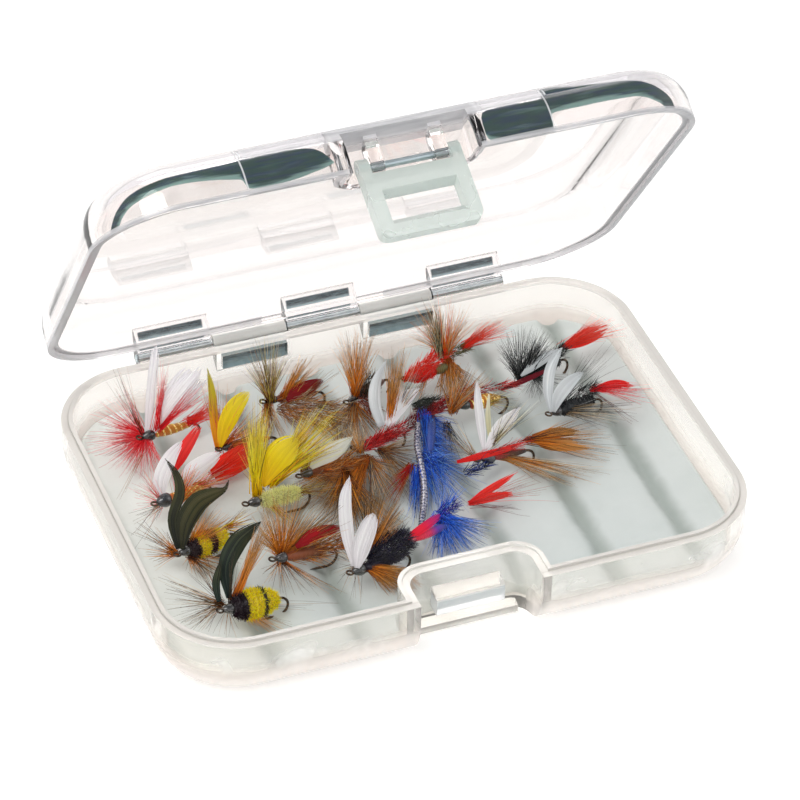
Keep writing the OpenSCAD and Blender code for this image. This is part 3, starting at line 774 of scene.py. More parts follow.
def fibres(bundle, root, direction, length, bend, colours, r0=0.06, r1=0.018, k=7, jitter=0.14, wave=0.12):
    """root, direction, bend: (n, 3); length (n,)."""
    n = len(root)
    t = np.linspace(0, 1, k)[None, :, None]
    d = unit(direction)
    p = root[:, None] + d[:, None] * (length[:, None, None] * t) + bend[:, None] * (length[:, None, None] * t ** 2)
    side = unit(np.cross(d, rng.normal(size=(n, 3))))
    p = p + side[:, None] * (np.sin(t * rng.uniform(1.5, 4.0, (n, 1, 1))) * wave * rng.normal(0, 1, (n, 1, 1)) * t * length[:, None, None] * 0.12)
    p = keep(p)
    tan = unit(np.gradient(p, axis=1))
    a = unit(np.cross(tan, np.array([0.31, 0.53, 0.79])))
    b = np.cross(tan, a)
    r = (r0 + (r1 - r0) * t ** 0.8) * rng.uniform(0.75, 1.2, (n, 1, 1))
    c = shade(colours, k, n, jitter)
    # some strands are darker, except in red bunches
    c[(rng.uniform(0, 1, n) < 0.2) & (c[:, 0, 1] > 0.1 * c[:, 0, 0])] *= np.array([0.5, 0.42, 0.38])
    bundle.add(p, a * r, b * r, c, 3)


class Fly:
    """One tied fly. Local x runs from the head to the tail along the hook's shank."""

    def __init__(self, i, x, y, yaw, shank, slot):
        self.i, self.slot, self.s = i, slot, shank
        yaw, tilt = math.radians(yaw), math.radians(9.0)
        self.o = np.array([x, y, 11.2])
        self.ex = np.array([math.cos(yaw) * math.cos(tilt), math.sin(yaw) * math.cos(tilt), -math.sin(tilt)])
        self.ey = np.array([-math.sin(yaw), math.cos(yaw), 0.0])
        self.ez = np.cross(self.ex, self.ey)
        self.hair, self.quill, self.thread, self.metal, self.fuzz = Bundle(), Bundle(), Bundle(), Bundle(), Bundle()

    def p(self, x, y=0.0, z=0.0):
        return self.o + self.ex * x + self.ey * y + self.ez * z

    def turned(self, bundle, xs, rs, tints, m=14, wobble=0.0):
        k = len(xs)
        path = np.array([self.p(x) for x in xs])[None]
        r = (np.asarray(rs) * (1 + rng.normal(0, wobble, k)))[None, :, None]
        bundle.add(path, self.ey * r * np.ones((1, k, 3)), self.ez * r * np.ones((1, k, 3)), tints[None], m)

    def head(self, colour=(22, 24, 30), r=0.95, x0=0.15, x1=2.5):
        t = np.linspace(0, 1, 13)
        rs = 0.3 + (r - 0.3) * np.sin(np.clip(t * 1.25, 0, 1) * math.pi * 0.5) ** 0.8 * np.cos(np.clip(t - 0.55, 0, 1) * 2.2) ** 0.5
        rs[0], rs[-1] = 0.3, 0.5
        b = Bundle()
        self.turned(b, x0 + (x1 - x0) * t, rs, np.tile(lin(*colour), (13, 1)))
        self.head_obj = b.build(f"fly_{self.i:02d}_head", M_VARNISH, self.slot)
        return self

    def body(self, colours, r=0.9, x0=2.0, x1=None, bulge=0.9, thick0=0.5, thick1=0.42, n=46):
        x1 = self.s - 0.2 if x1 is None else x1
        t = np.linspace(0, 1, n)
        rs = thick0 + (thick1 - thick0) * t + (r - 0.46) * np.sin(np.clip(t, 0, 1) ** bulge * math.pi)
        rs = rs * (1 + 0.035 * np.sin(t * (x1 - x0) * 14.0))
        self.turned(self.thread, x0 + (x1 - x0) * t, rs, shade(colours, n, 1, 0.02)[0], 14, 0.012)
        self._body = (x0, x1, t, rs)
        return self

    def rib(self, colour, turns=6, width=0.42, x0=None, x1=None):
        bx0, bx1, t, rs = self._body
        x0, x1 = x0 or bx0 + 0.6, x1 or bx1 - 0.3
        k = int(turns * 14)
        u = np.linspace(0, 1, k)
        x = x0 + (x1 - x0) * u
        r = np.interp((x - bx0) / (bx1 - bx0), t, rs) + 0.05
        ang = u * turns * 2 * math.pi
        rad = np.cos(ang)[:, None] * self.ey + np.sin(ang)[:, None] * self.ez
        path = self.o + x[:, None] * self.ex + rad * r[:, None]
        wide = np.tile(self.ex * width / 2, (k, 1))
        self.metal.add(path[None], wide[None], (rad * 0.05)[None], np.tile(lin(*colour), (1, k, 1)), 6)
        return self

    def chenille(self, bands, r=1.5, x0=1.9, x1=None, fuzz=900, length=0.75):
        """bands: list of (share of the length, colour)."""
        x1 = self.s - 0.3 if x1 is None else x1
        t = np.linspace(0, 1, 40)
        rs = 0.45 + (r - 0.45) * np.sin(np.clip(t, 0, 1) ** 0.85 * math.pi) ** 0.6
        rs = rs * (1 + 0.06 * np.sin(t * (x1 - x0) * 6.5))
        edges = np.cumsum([b[0] for b in bands])
        edges = edges / edges[-1]

        def colour(u):
            return np.array([lin(*bands[min(int(np.searchsorted(edges, a)), len(bands) - 1)][1]) for a in u])

        # painted shade: the core under the fuzz is darker
        self.turned(self.thread, x0 + (x1 - x0) * t, rs * 0.86, colour(t) * 0.75, 16, 0.03)
        u = rng.uniform(0.02, 0.98, fuzz)
        ang = rng.uniform(0, 2 * math.pi, fuzz)
        rad = np.cos(ang)[:, None] * self.ey + np.sin(ang)[:, None] * self.ez
        root = self.o + (x0 + (x1 - x0) * u)[:, None] * self.ex + rad * (np.interp(u, t, rs) * 0.8)[:, None]
        d = unit(rad + rng.normal(0, 0.38, (fuzz, 3)))
        n, k = fuzz, 4
        tt = np.linspace(0, 1, k)[None, :, None]
        L = rng.uniform(0.5, 1.0, (n, 1, 1)) * length
        p = keep(root[:, None] + d[:, None] * tt * L + rng.normal(0, 0.25, (n, 1, 3)) * tt ** 2 * L)
        tan = unit(np.gradient(p, axis=1))
        a = unit(np.cross(tan, np.array([0.31, 0.53, 0.79])))
        b = np.cross(tan, a)
        rr = 0.075 * (1 - 0.55 * tt)
        # painted shade and light: each fuzz fibre darker at its root and lighter towards its tip, with random tone
        c = colour(np.clip(u + rng.normal(0, 0.012, n), 0, 1))[:, None] * (0.8 + 0.45 * tt) * (1 + rng.normal(0, 0.15, (n, 1, 1)))
        self.fuzz.add(p, a * rr, b * rr, np.clip(c, 0, 1), 3)
        self._body = (x0, x1, t, rs)
        return self

    def hackle(self, n, length, colours, x=2.2, spread=0.5, lean=12, lean_sd=16, low=1.0, r0=0.06, bend=0.12, centre=None, arc=None):
        """A collar of fibres round the shank. centre and arc (deg) limit it to one side, 90 being up."""
        if arc is None:
            ang = rng.uniform(0, 2 * math.pi, n)
        else:
            ang = np.radians(rng.normal(centre, arc, n))
        keep_it = (np.sin(ang) > -0.35) | (rng.uniform(0, 1, n) < low)
        ang = ang[keep_it]
        n = len(ang)
        rad = np.cos(ang)[:, None] * self.ey + np.sin(ang)[:, None] * self.ez
        ln = np.radians(rng.normal(lean, lean_sd, n))
        d = rad * np.cos(ln)[:, None] + self.ex * np.sin(ln)[:, None]
        root = self.o + (x + rng.uniform(-spread, spread, n))[:, None] * self.ex + rad * 0.35
        L = rng.uniform(length[0], length[1], n) * np.where(np.sin(ang) < -0.3, 0.8, 1.0)
        b = self.ex[None] * rng.normal(bend, 0.08, n)[:, None] + np.array([0, 0, -0.05])
        fibres(self.hair, root, d, L, b, colours, r0=r0)
        return self

    def bunch(self, root, tip, n, spread, colours, root_spread=0.35, r0=0.065, sag=0.06, jitter=0.14):
        """Fibres from one place of the view to another; both are (u, v, height)."""
        a, b = at(*root), at(*tip)
        ra = a + rng.normal(0, root_spread, (n, 3)) * np.array([1, 1, 0.6])
        rb = b + rng.normal(0, spread, (n, 3))
        rb = ra + (rb - ra) * rng.uniform(0.72, 1.05, (n, 1))
        d = rb - ra
        fibres(self.hair, ra, d, np.linalg.norm(d, axis=1), rng.normal(0, 0.05, (n, 3)) + np.array([0, 0, -sag]), colours, r0=r0, jitter=jitter)
        return self

    def fan(self, root, outline, n, colours, near=0.55, blur=3.0, rise=0.8, r0=0.068, spread=0.4, z_jit=0.8, droop=0.05, jitter=0.2):
        """Fibres from a root (u, v, height) out to anywhere along an outline of the view."""
        o = np.array(outline, float)
        step = np.concatenate([[0], np.cumsum(np.hypot(*np.diff(o, axis=0).T))])
        u = rng.uniform(0, step[-1], n)
        tip = np.stack([np.interp(u, step, o[:, 0]), np.interp(u, step, o[:, 1])], 1)
        r = np.array(root[:2], float)
        tip = r + (tip - r) * (near + (1.10 - near) * rng.uniform(0, 1, (n, 1)) ** 0.7) + rng.normal(0, blur, (n, 2))
        z = np.clip(root[2] + rise * (root[1] - tip[:, 1]) / 5.1 + rng.normal(0, z_jit, n), 6.6, 21.4)
        ends = places(tip[:, 0], tip[:, 1], z)
        roots = at(*root) + rng.normal(0, spread, (n, 3)) * np.array([1, 1, 0.6])
        d = ends - roots
        fibres(self.hair, roots, d, np.linalg.norm(d, axis=1), rng.normal(0, 0.05, (n, 3)) + np.array([0, 0, -droop]), colours, r0=r0, jitter=jitter)
        return self

    def wool(self, points, widths, n, colours, length=(1.4, 2.8), splay=0.32, r0=0.075, flat=0.7, jitter=0.2):
        """Short fibres laid along a path of the view."""
        k = 24
        c = spline([at(*q) for q in points], k)
        w = spline(np.array(widths, float)[:, None] / 5.1, k)[:, 0]
        tan = unit(np.gradient(c, axis=0))
        wide = unit(np.cross(tan, -FWD))
        nor = np.cross(wide, tan)
        t = rng.uniform(0, 0.95, n) * (k - 1)
        i = t.astype(int)
        off, lift = rng.uniform(-1, 1, n), rng.uniform(-1, 1, n)
        lift = lift * np.sqrt(1 - off ** 2)
        root = c[i] + (c[np.minimum(i + 1, k - 1)] - c[i]) * (t - i)[:, None]
        root = root + wide[i] * (off * w[i] * 0.42)[:, None] + nor[i] * (lift * w[i] * 0.42 * flat)[:, None]
        d = tan[i] + wide[i] * (off * splay)[:, None] + rng.normal(0, splay * 0.6, (n, 3))
        fibres(self.fuzz, root, d, rng.uniform(length[0], length[1], n), rng.normal(0, 0.08, (n, 3)), colours, r0=r0, r1=0.025, k=5, jitter=jitter)
        return self

    def cord(self, points, r, colours, pitch=0.8):
        """A ribbed tube along a path of the view; the colours follow each other within one rib."""
        c = spline([at(*q) for q in points], 200)
        step = np.concatenate([[0], np.cumsum(np.linalg.norm(np.diff(c, axis=0), axis=1))])
        k = max(int(step[-1] / pitch * 8), 30)
        s = np.linspace(0, step[-1], k)
        c = np.array([np.interp(s, step, c[:, q]) for q in range(3)]).T
        tan = unit(np.gradient(c, axis=0))
        a = unit(np.cross(tan, -FWD))
        b = np.cross(tan, a)
        rr = r * (0.8 + 0.2 * np.sin(s / step[-1] * math.pi)) * (1 + 0.10 * np.sin(s * 2 * math.pi / pitch))
        rr[0], rr[-1] = 0.3 * r, 0.3 * r
        t = np.array([lin(*x) for x in colours])
        tint = t[(s / pitch * len(t)).astype(int) % len(t)]
        self.metal.add(c[None], (a * rr[:, None])[None], (b * rr[:, None])[None], tint[None], 14)
        return self

    def slip(self, points, widths, colours, strips=7, thick=0.05, curl=0.18, roll=0.0, ragged=0.06, k=16):
        """A feather slip: barbs side by side. points are (u, v, height); widths in px of the view."""
        c = spline([at(*q) for q in points], k)
        w = spline(np.array(widths, float)[:, None] / 5.1, k)[:, 0]
        w = np.maximum(w, 0.12)
        tan = unit(np.gradient(c, axis=0))
        face = unit(-FWD + roll * RIGHT)
        wide = unit(np.cross(tan, face))
        nor = np.cross(wide, tan)
        n = strips
        off = (np.arange(n) + 0.5) / n * 2 - 1
        t = np.linspace(0, 1, k)
        end = 1.0 - ragged * rng.uniform(0, 1, n) - 0.10 * np.abs(off) ** 2.0
        P, A, B = [], [], []
        for j in range(n):
            tj = t * end[j]
            cj = np.array([np.interp(tj, t, c[:, q]) for q in range(3)]).T
            wj = np.interp(tj, t, w)
            Wj = np.array([np.interp(tj, t, wide[:, q]) for q in range(3)]).T
            Nj = np.array([np.interp(tj, t, nor[:, q]) for q in range(3)]).T
            split = 1 + rng.normal(0, 0.07) * t ** 3
            lift = curl * (1 - off[j] ** 2) * np.sin(t * math.pi * 0.9) * wj + rng.normal(0, 0.02)
            P.append(cj + Wj * (off[j] * wj / 2 * split)[:, None] + Nj * lift[:, None])
            half = wj / n * 0.5 * 1.32 * (1 - 0.55 * t ** 6)
            A.append(Wj * np.maximum(half, 0.03)[:, None])
            B.append(Nj * (thick * (1 - 0.5 * t))[:, None])
        P = keep(np.array(P))
        self.quill.add(P, np.array(A), np.array(B), shade(colours, k, n, 0.05), 6)
        return self

    def done(self):
        made = [self.head_obj]
        for part, name, material in ((self.thread, "body", M_THREAD), (self.fuzz, "fuzz", M_FUZZ), (self.metal, "rib", M_TINSEL),
                                     (self.quill, "wings", M_QUILL), (self.hair, "hackle", M_HACKLE)):
            if part.n:
                made.append(part.build(f"fly_{self.i:02d}_{name}", material, self.slot))
        for o in made:
            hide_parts(f"dressing_{self.i:02d}")


WHITE = [(244, 241, 243), (253, 252, 253), (247, 245, 248)]
COOL = [(222, 226, 228), (240, 243, 244), (228, 232, 234)]
CREAM = [(214, 208, 188), (234, 230, 214), (222, 218, 204)]
RED = [(240, 36, 34), (250, 52, 46), (236, 70, 62)]
DEEP = [(136, 10, 20), (166, 16, 26), (140, 20, 28)]
YELLOW = [(248, 212, 18), (252, 234, 36), (244, 230, 76)]
OLIVE = [(42, 44, 34), (66, 68, 42), (86, 86, 50), (44, 46, 34)]
BOTTLE = [(30, 46, 44), (48, 60, 46), (62, 70, 48), (40, 46, 34)]
OLIVES = [OLIVE, [(30, 34, 28), (50, 52, 36), (68, 66, 40), (42, 42, 30)], [(58, 58, 38), (86, 84, 50), (98, 92, 56), (60, 52, 36)]]
BOTTLES = [BOTTLE, [(22, 34, 34), (36, 48, 40), (50, 56, 40), (34, 38, 28)], [(40, 56, 52), (62, 76, 58), (80, 84, 58), (48, 50, 36)]]

GOLD = [(206, 112, 16), (244, 166, 56), (232, 182, 104), (196, 156, 104)]
BROWN = [(140, 72, 16), (186, 116, 44), (172, 130, 76), (136, 112, 80)]
AMBER = [(200, 96, 14), (236, 150, 44), (228, 170, 88), (196, 152, 104)]
DARK = [(62, 36, 20), (88, 62, 38), (98, 80, 60), (104, 94, 80)]
PALE = [(160, 116, 60), (212, 190, 150), (226, 214, 190), (196, 186, 164)]
SCARLET = [(255, 34, 50), (255, 66, 78), (246, 112, 116), (216, 130, 130)]
ROSE = [(255, 80, 92), (250, 130, 136), (236, 170, 172), (210, 170, 170)]
LEMON = [(255, 210, 4), (255, 232, 26), (255, 238, 80), (242, 222, 110)]
STRAW = [(190, 160, 40), (222, 204, 96), (214, 206, 140), (180, 170, 120)]
BLUE = [(30, 92, 232), (56, 136, 255), (92, 160, 255), (96, 128, 196)]
NAVY = [(18, 44, 130), (30, 76, 196), (52, 88, 176), (40, 54, 100)]
BLACK = [(20, 22, 24), (40, 44, 46), (70, 76, 76), (104, 108, 106)]
GREY = [(60, 62, 62), (110, 112, 112), (160, 162, 160), (176, 178, 174)]
FIRE = [(255, 44, 24), (255, 70, 40), (255, 104, 72)]
WINE = [(112, 10, 20), (150, 16, 26), (170, 30, 36)]

# place of the head x, y, heading, shank, as the hooks have them
f = Fly(1, -45.0, 24.5, 14, 11.5, "tying_gold").head(r=1.25, x0=0.0, x1=2.7)
f.body([(236, 100, 26), (236, 158, 40), (230, 170, 44)], 1.0).rib((255, 220, 90), 6)
f.slip([(147, 434, 11.6), (150, 400, 15.5), (153, 372, 19), (156, 345, 21.6)], [5, 8, 9, 9, 8], WHITE, 6, ragged=0.03)
f.slip([(152, 433, 11.6), (166, 410, 14.5), (184, 387, 18), (201, 367, 20.5)], [5, 18, 27, 30, 22], WHITE, 13, ragged=0.12)
f.fan((156, 430, 12.6), [(160, 372), (168, 366)], 34, [SCARLET, [(246, 30, 44), (240, 50, 60), (220, 70, 80)]], near=0.7, blur=1.5, r0=0.075)
f.fan((160, 428, 12.2), [(194, 382), (208, 392)], 44, [SCARLET, [(246, 30, 44), (240, 50, 60), (220, 70, 80)]], near=0.6, blur=1.5, r0=0.075)
f.fan((146, 436, 10.8), [(174, 474), (152, 478), (128, 472), (104, 462), (90, 448), (90, 430), (98, 410), (108, 390), (128, 378)], 250, [SCARLET, SCARLET, ROSE], near=0.4)
f.fan((146, 436, 10.8), [(138, 462), (118, 456), (108, 440), (112, 422), (124, 406)], 120, [[(250, 26, 44), (246, 50, 60), (230, 84, 88)]], near=0.4, blur=2.0, r0=0.085)
f.fan((144, 434, 11.4), [(101, 376), (112, 362), (130, 356)], 12, [DARK, BROWN], near=0.7)
f.fan((150, 440, 9.6), [(114, 498), (122, 506)], 4, [BROWN], near=0.8)
f.fan((189, 422, 10.2), [(208, 400), (222, 406), (218, 416)], 110, [FIRE, SCARLET], near=0.4, blur=1.5, spread=0.6)
f.done()

f = Fly(2, -31.5, 16.0, 10, 11.0, "tying_red").head((30, 26, 24), 0.9)
f.body([(216, 96, 30), (200, 64, 30)], 0.95)
f.slip([(217, 447, 12), (214, 420, 15.5), (212, 392, 19), (207, 366, 21.5)], [4, 8, 8, 6, 1], [(240, 150, 24), (242, 184, 24), (222, 204, 50), (196, 186, 60)], 6)
f.slip([(220, 447, 12), (226, 425, 15), (236, 406, 18), (250, 391, 20)], [4, 14, 18, 16, 7], YELLOW, 10, ragged=0.03)
f.slip([(213, 475, 8.6), (232, 463, 9.6), (257, 449, 10.5)], [15, 23, 24, 21], [(244, 44, 28), (250, 60, 38), (242, 84, 60)], 12, ragged=0.14)
f.fan((213, 475, 8.4), [(240, 436), (256, 440), (262, 456)], 60, [FIRE], near=0.6, blur=2.0)
f.fan((221, 447, 11), [(200, 390), (214, 382), (230, 388), (244, 402), (252, 424)], 120, [AMBER, [(240, 90, 40), (236, 116, 76), (214, 140, 110)]], near=0.5)
f.fan((224, 446, 11), [(256, 412), (264, 430), (262, 448), (250, 458)], 110, [GOLD, BROWN, AMBER], near=0.5)
f.fan((220, 450, 10), [(200, 466), (214, 476), (232, 472)], 30, [BROWN, ROSE], near=0.5)
f.done()

f = Fly(3, -48.5, 4.5, 19, 11.5, "tying_gold").head((20, 28, 40), 1.5, x0=0.0, x1=3.1)
f.body([(236, 92, 30), (236, 164, 60), (226, 180, 70)], 0.95).rib((255, 220, 110), 7)
f.slip([(162, 497, 11.6), (161, 480, 14), (170, 458, 16.5), (183, 440, 19)], [5, 14, 16, 12, 4], WHITE, 8, ragged=0.04)
f.slip([(172, 470, 13), (184, 450, 15.2), (201, 424, 17.5)], [9, 13, 12, 7], [(246, 50, 46), (250, 64, 60), (240, 84, 78)], 7)
f.slip([(183, 479, 11.4), (194, 470, 12.4), (208, 461, 13.8), (222, 452, 15)], [8, 16, 17, 14, 4], WHITE, 8)
f.fan((178, 503, 10), [(172, 470), (188, 464), (206, 466), (222, 478)], 110, [AMBER, FIRE, [(240, 196, 90), (230, 176, 90)]], near=0.5)
f.fan((163, 502, 10.5), [(152, 524), (138, 504), (132, 478), (146, 468), (160, 474)], 80, [ROSE, SCARLET, PALE], near=0.5, r0=0.05)
f.fan((160, 506, 10.0), [(134, 532), (128, 514), (134, 560)], 10, [BROWN, DARK], near=0.6, r0=0.05)
f.fan((196, 486, 9.6), [(226, 462), (236, 472), (226, 486)], 44, [AMBER, ROSE], near=0.4)
f.done()

f = Fly(4, -49.0, -11.0, 21, 12.0, "tying_bee").head((24, 26, 24), 1.05, x0=0.0)
f.chenille([(0.22, (44, 18, 26)), (0.22, (255, 226, 20)), (0.18, (64, 22, 22)), (0.38, (255, 228, 24))], 2.45, fuzz=2600, length=0.8)
f.slip([(178, 549, 12), (172, 520, 15.5), (180, 493, 18.5), (176, 474, 20.3), (164, 457, 21.5)], [4, 9, 10, 7, 1], OLIVES, 9)
f.slip([(182, 549, 12), (185, 524, 15), (197, 503, 17), (213, 494, 17.5), (225, 489, 17.8), (229, 479, 18.8)], [5, 18, 20, 13, 5, 1], OLIVES, 12, curl=0.3, ragged=0.03)
f.fan((178, 553, 10.5), [(154, 566), (147, 552), (150, 536), (160, 524)], 60, [BROWN, AMBER], near=0.4)
f.fan((177, 553, 10.5), [(131, 538), (138, 526), (152, 520)], 16, [DARK, BROWN], near=0.6, r0=0.055)
f.fan((190, 546, 11), [(198, 520), (206, 508), (218, 508), (226, 516), (232, 530)], 130, [AMBER, GOLD], near=0.5)
f.fan((190, 556, 9.5), [(190, 572), (206, 578), (224, 572), (236, 556)], 70, [BROWN, DARK, AMBER], near=0.5)
f.fan((226, 528, 9.5), [(246, 506), (256, 518), (252, 534)], 40, [GOLD, LEMON, BROWN], near=0.5)
f.done()

f = Fly(5, -46.5, -29.0, 8, 12.0, "tying_bee").head((24, 26, 26), 1.05, x0=0.0)
f.chenille([(0.27, (38, 16, 30)), (0.32, (255, 228, 20)), (0.09, (44, 40, 30)), (0.32, (255, 230, 26))], 3.05, fuzz=3600, length=0.85)
f.slip([(219, 602, 11.8), (216, 585, 14), (218, 572, 16), (222, 558, 17.6)], [4, 7, 7, 5, 1.5], BOTTLES, 7)
f.slip([(229, 598, 12), (226, 568, 15.5), (236, 544, 18.3), (249, 531, 19.8), (262, 521, 21)], [5, 15, 18, 12, 2], BOTTLES, 13, curl=0.3, ragged=0.03)
f.fan((235, 600, 11.2), [(256, 536), (268, 518), (272, 524)], 100, [AMBER, GOLD], near=0.6, blur=1.6, r0=0.08)
f.fan((222, 604, 10.3), [(163, 570), (164, 598), (176, 610), (184, 622), (206, 632)], 80, [DARK, BROWN, PALE], near=0.5, r0=0.06)
f.fan((222, 602, 10.8), [(184, 566), (204, 552), (214, 548)], 16, [DARK, BROWN], near=0.7, r0=0.055)
f.fan((236, 606, 9.8), [(290, 630), (276, 630), (258, 624), (246, 622)], 70, [GOLD, AMBER], near=0.5, r0=0.07)
f.fan((236, 606, 9.8), [(330, 592), (326, 600), (290, 640)], 9, [DARK, BROWN], near=0.7, r0=0.05)
f.fan((228, 606, 9.6), [(226, 644), (240, 640), (214, 636)], 8, [DARK, BROWN], near=0.6, r0=0.05)
f.fan((230, 604, 11), [(228, 560), (240, 545)], 10, [DARK], near=0.7, r0=0.05)
f.done()

f = Fly(6, -32.0, -1.5, 10, 12.0, "tying_yellow").head((34, 32, 26), 1.1, x0=0.0)
f.chenille([(1.0, (250, 248, 176))], 1.4, x0=3.0, fuzz=1700, length=1.0)
f.fan((256, 494, 11.6), [(246, 432), (252, 414), (262, 402), (270, 420)], 150, LEMON, near=0.7, blur=1.8, r0=0.11)
f.slip([(258, 492, 11.6), (254, 462, 14.5), (253, 428, 18)], [5, 10, 10, 5], YELLOW, 7, ragged=0.15)
f.slip([(262, 486, 12), (272, 466, 14.5), (284, 450, 17), (299, 438, 18.5)], [6, 22, 28, 24, 9], YELLOW, 14, ragged=0.04)
f.fan((270, 482, 11.6), [(300, 424), (314, 406), (332, 400), (340, 420), (340, 446)], 210, [LEMON, LEMON, LEMON, [(240, 170, 10), (246, 196, 50), (230, 184, 80)]], near=0.6, blur=2.0, r0=0.11, spread=0.7)
f.fan((290, 450, 13), [(310, 412), (320, 410)], 24, [[(226, 226, 150), (236, 240, 214), (230, 234, 220)]], near=0.6, blur=1.5)
f.fan((262, 494, 10.6), [(264, 514), (278, 516), (292, 520), (300, 530)], 80, [AMBER, LEMON, [(240, 170, 30), (240, 190, 70)]], near=0.45)
f.fan((262, 492, 11.2), [(246, 470), (240, 452), (250, 436)], 30, [STRAW, LEMON], near=0.5, r0=0.055)
f.fan((300, 492, 9.8), [(326, 470), (340, 484), (330, 500)], 50, [STRAW, PALE, BROWN], near=0.4, r0=0.055)
f.done()

f = Fly(7, -32.5, -18.5, 7, 11.5, "tying_red").head((34, 24, 26), 1.1, x0=0.0)
f.body([(150, 70, 24), (130, 76, 34)], 1.2)
f.wool([(286, 557, 10.4), (314, 550, 10), (348, 540, 9.4)], [10, 20, 12], 420, [BROWN, GOLD, AMBER], length=(2.0, 4.5))
f.slip([(296, 547, 13), (318, 533, 14), (343, 527, 14)], [4, 12, 11, 4], [(160, 10, 24), (196, 18, 32), (170, 20, 36)], 8, ragged=0.03)
f.fan((281, 556, 10.6), [(258, 540), (256, 516), (270, 500), (292, 490), (312, 498), (324, 518)], 270, [GOLD, GOLD, BROWN, AMBER], near=0.42)
f.fan((284, 554, 10.6), [(330, 500), (342, 512), (348, 524)], 110, [GOLD, BROWN, DARK], near=0.45)
f.fan((281, 560, 9.6), [(344, 592), (316, 584), (294, 592), (272, 586), (258, 572)], 60, [BROWN, DARK, GOLD], near=0.5, r0=0.055)
f.done()

f = Fly(8, -20.0, -27.0, 16, 12.0, "tying_black").head((20, 28, 30), 1.25, x0=0.0, x1=2.8)
f.chenille([(1.0, (34, 26, 50))], 1.2, x0=2.6, fuzz=900, length=0.5)
f.wool([(368, 562, 11.4), (389, 549, 12.2), (410, 536, 12.4)], [12, 32, 16], 1500, [[(26, 22, 44), (48, 42, 84)], [(20, 18, 30), (36, 32, 52)]], length=(0.9, 2.0), splay=0.5, r0=0.09)
f.slip([(354, 566, 12), (347, 530, 15.5), (345, 500, 18.5), (350, 475, 21)], [5, 12, 13, 11, 2], WHITE, 9, ragged=0.03)
f.slip([(357, 568, 12), (361, 548, 14), (368, 528, 16.5), (374, 513, 18.5)], [5, 16, 18, 16, 9], WHITE, 9, ragged=0.02)
f.fan((368, 556, 11), [(368, 498), (382, 488), (398, 500), (402, 520)], 200, [GOLD, AMBER, BROWN], near=0.5, z_jit=0.6)
f.fan((366, 548, 12), [(362, 486), (378, 488)], 44, [[(36, 30, 24), (60, 50, 36), (96, 84, 60)]], near=0.75, blur=2.0)
f.fan((366, 566, 10.6), [(410, 566), (416, 576), (404, 588), (384, 588)], 260, [AMBER, GOLD, BROWN], near=0.65, blur=2.0, droop=0.10, r0=0.08)
f.fan((358, 566, 10.2), [(338, 540), (332, 562), (340, 588), (360, 600)], 30, [BROWN, DARK, PALE], near=0.5, r0=0.05)
f.fan((372, 540, 11), [(390, 510), (404, 512)], 30, [DARK], near=0.7)
f.done()

f = Fly(9, -3.0, 21.5, 31, 11.5, "tying_brown").head((30, 30, 26), 0.8)
f.body([(140, 56, 18), (100, 60, 30)], 1.3)
f.wool([(357, 396, 11), (366, 402, 10.6), (376, 412, 10)], [10, 15, 12], 170, [[(160, 64, 18), (190, 84, 30)], [(120, 44, 16), (140, 60, 24)]], length=(1.2, 2.4))
f.wool([(364, 400, 11.6), (369, 388, 12.6), (372, 374, 14)], [12, 15, 12], 190, [[(34, 30, 22), (60, 52, 36)], [(70, 50, 24), (96, 70, 36)]], length=(1.2, 2.6))
f.fan((356, 394, 11.6), [(336, 356), (344, 332), (358, 328), (372, 334), (380, 352)], 220, [AMBER, AMBER, GOLD, PALE], near=0.42)
f.fan((354, 404, 10.4), [(332, 414), (336, 436), (354, 450), (374, 442), (388, 424)], 300, [PALE, BROWN, GREY, GOLD], near=0.4)
f.done()

f = Fly(10, -6.5, 7.5, 17, 10.5, "tying_red").head((40, 34, 24), 1.0)
f.chenille([(1.0, (206, 20, 24))], 1.15, fuzz=500, length=0.4)
f.wool([(362, 450, 11.2), (384, 438, 11.6), (405, 428, 11.6)], [8, 13, 12], 330, [[(196, 14, 22), (232, 30, 34)], [(226, 26, 30), (240, 60, 50)], [(150, 10, 20), (180, 20, 28)]])
f.wool([(402, 430, 11.6), (414, 420, 11.6), (426, 410, 11.6)], [11, 10, 8], 130, [WINE, [(80, 16, 26), (110, 24, 34)]])
f.slip([(382, 426, 12.4), (375, 404, 14.6), (376, 382, 17), (387, 359, 20)], [8, 11, 12, 9, 2], COOL, 9, ragged=0.03)
f.slip([(388, 426, 12.6), (396, 409, 13.8), (407, 397, 15), (420, 388, 16.5)], [7, 15, 17, 12, 2], WHITE, 9, ragged=0.03)
f.fan((389, 424, 12), [(390, 362), (398, 348), (408, 350)], 130, [AMBER, GOLD, BROWN], near=0.6, blur=2.0)
f.fan((394, 418, 12), [(414, 368), (426, 378)], 40, [PALE, BROWN, GREY], near=0.5)
f.fan((366, 458, 10.4), [(298, 470), (302, 488), (316, 504), (336, 518), (358, 526)], 330, [GOLD, AMBER, BROWN, BROWN], near=0.35, z_jit=0.6)
f.fan((368, 458, 10.2), [(366, 526), (386, 516), (398, 490), (406, 464)], 150, [PALE, BROWN, GREY, GOLD], near=0.45)
f.fan((360, 452, 10.8), [(340, 430), (352, 424), (368, 430)], 90, [PALE, GOLD], near=0.5)
f.fan((380, 450, 9.6), [(404, 502), (420, 482), (424, 450), (410, 430)], 190, [PALE, BROWN, GREY], near=0.4)
f.fan((345, 472, 9.4), [(318, 512), (334, 530), (356, 536), (380, 534), (398, 518)], 260, [GOLD, BROWN, DARK], near=0.4)
f.done()

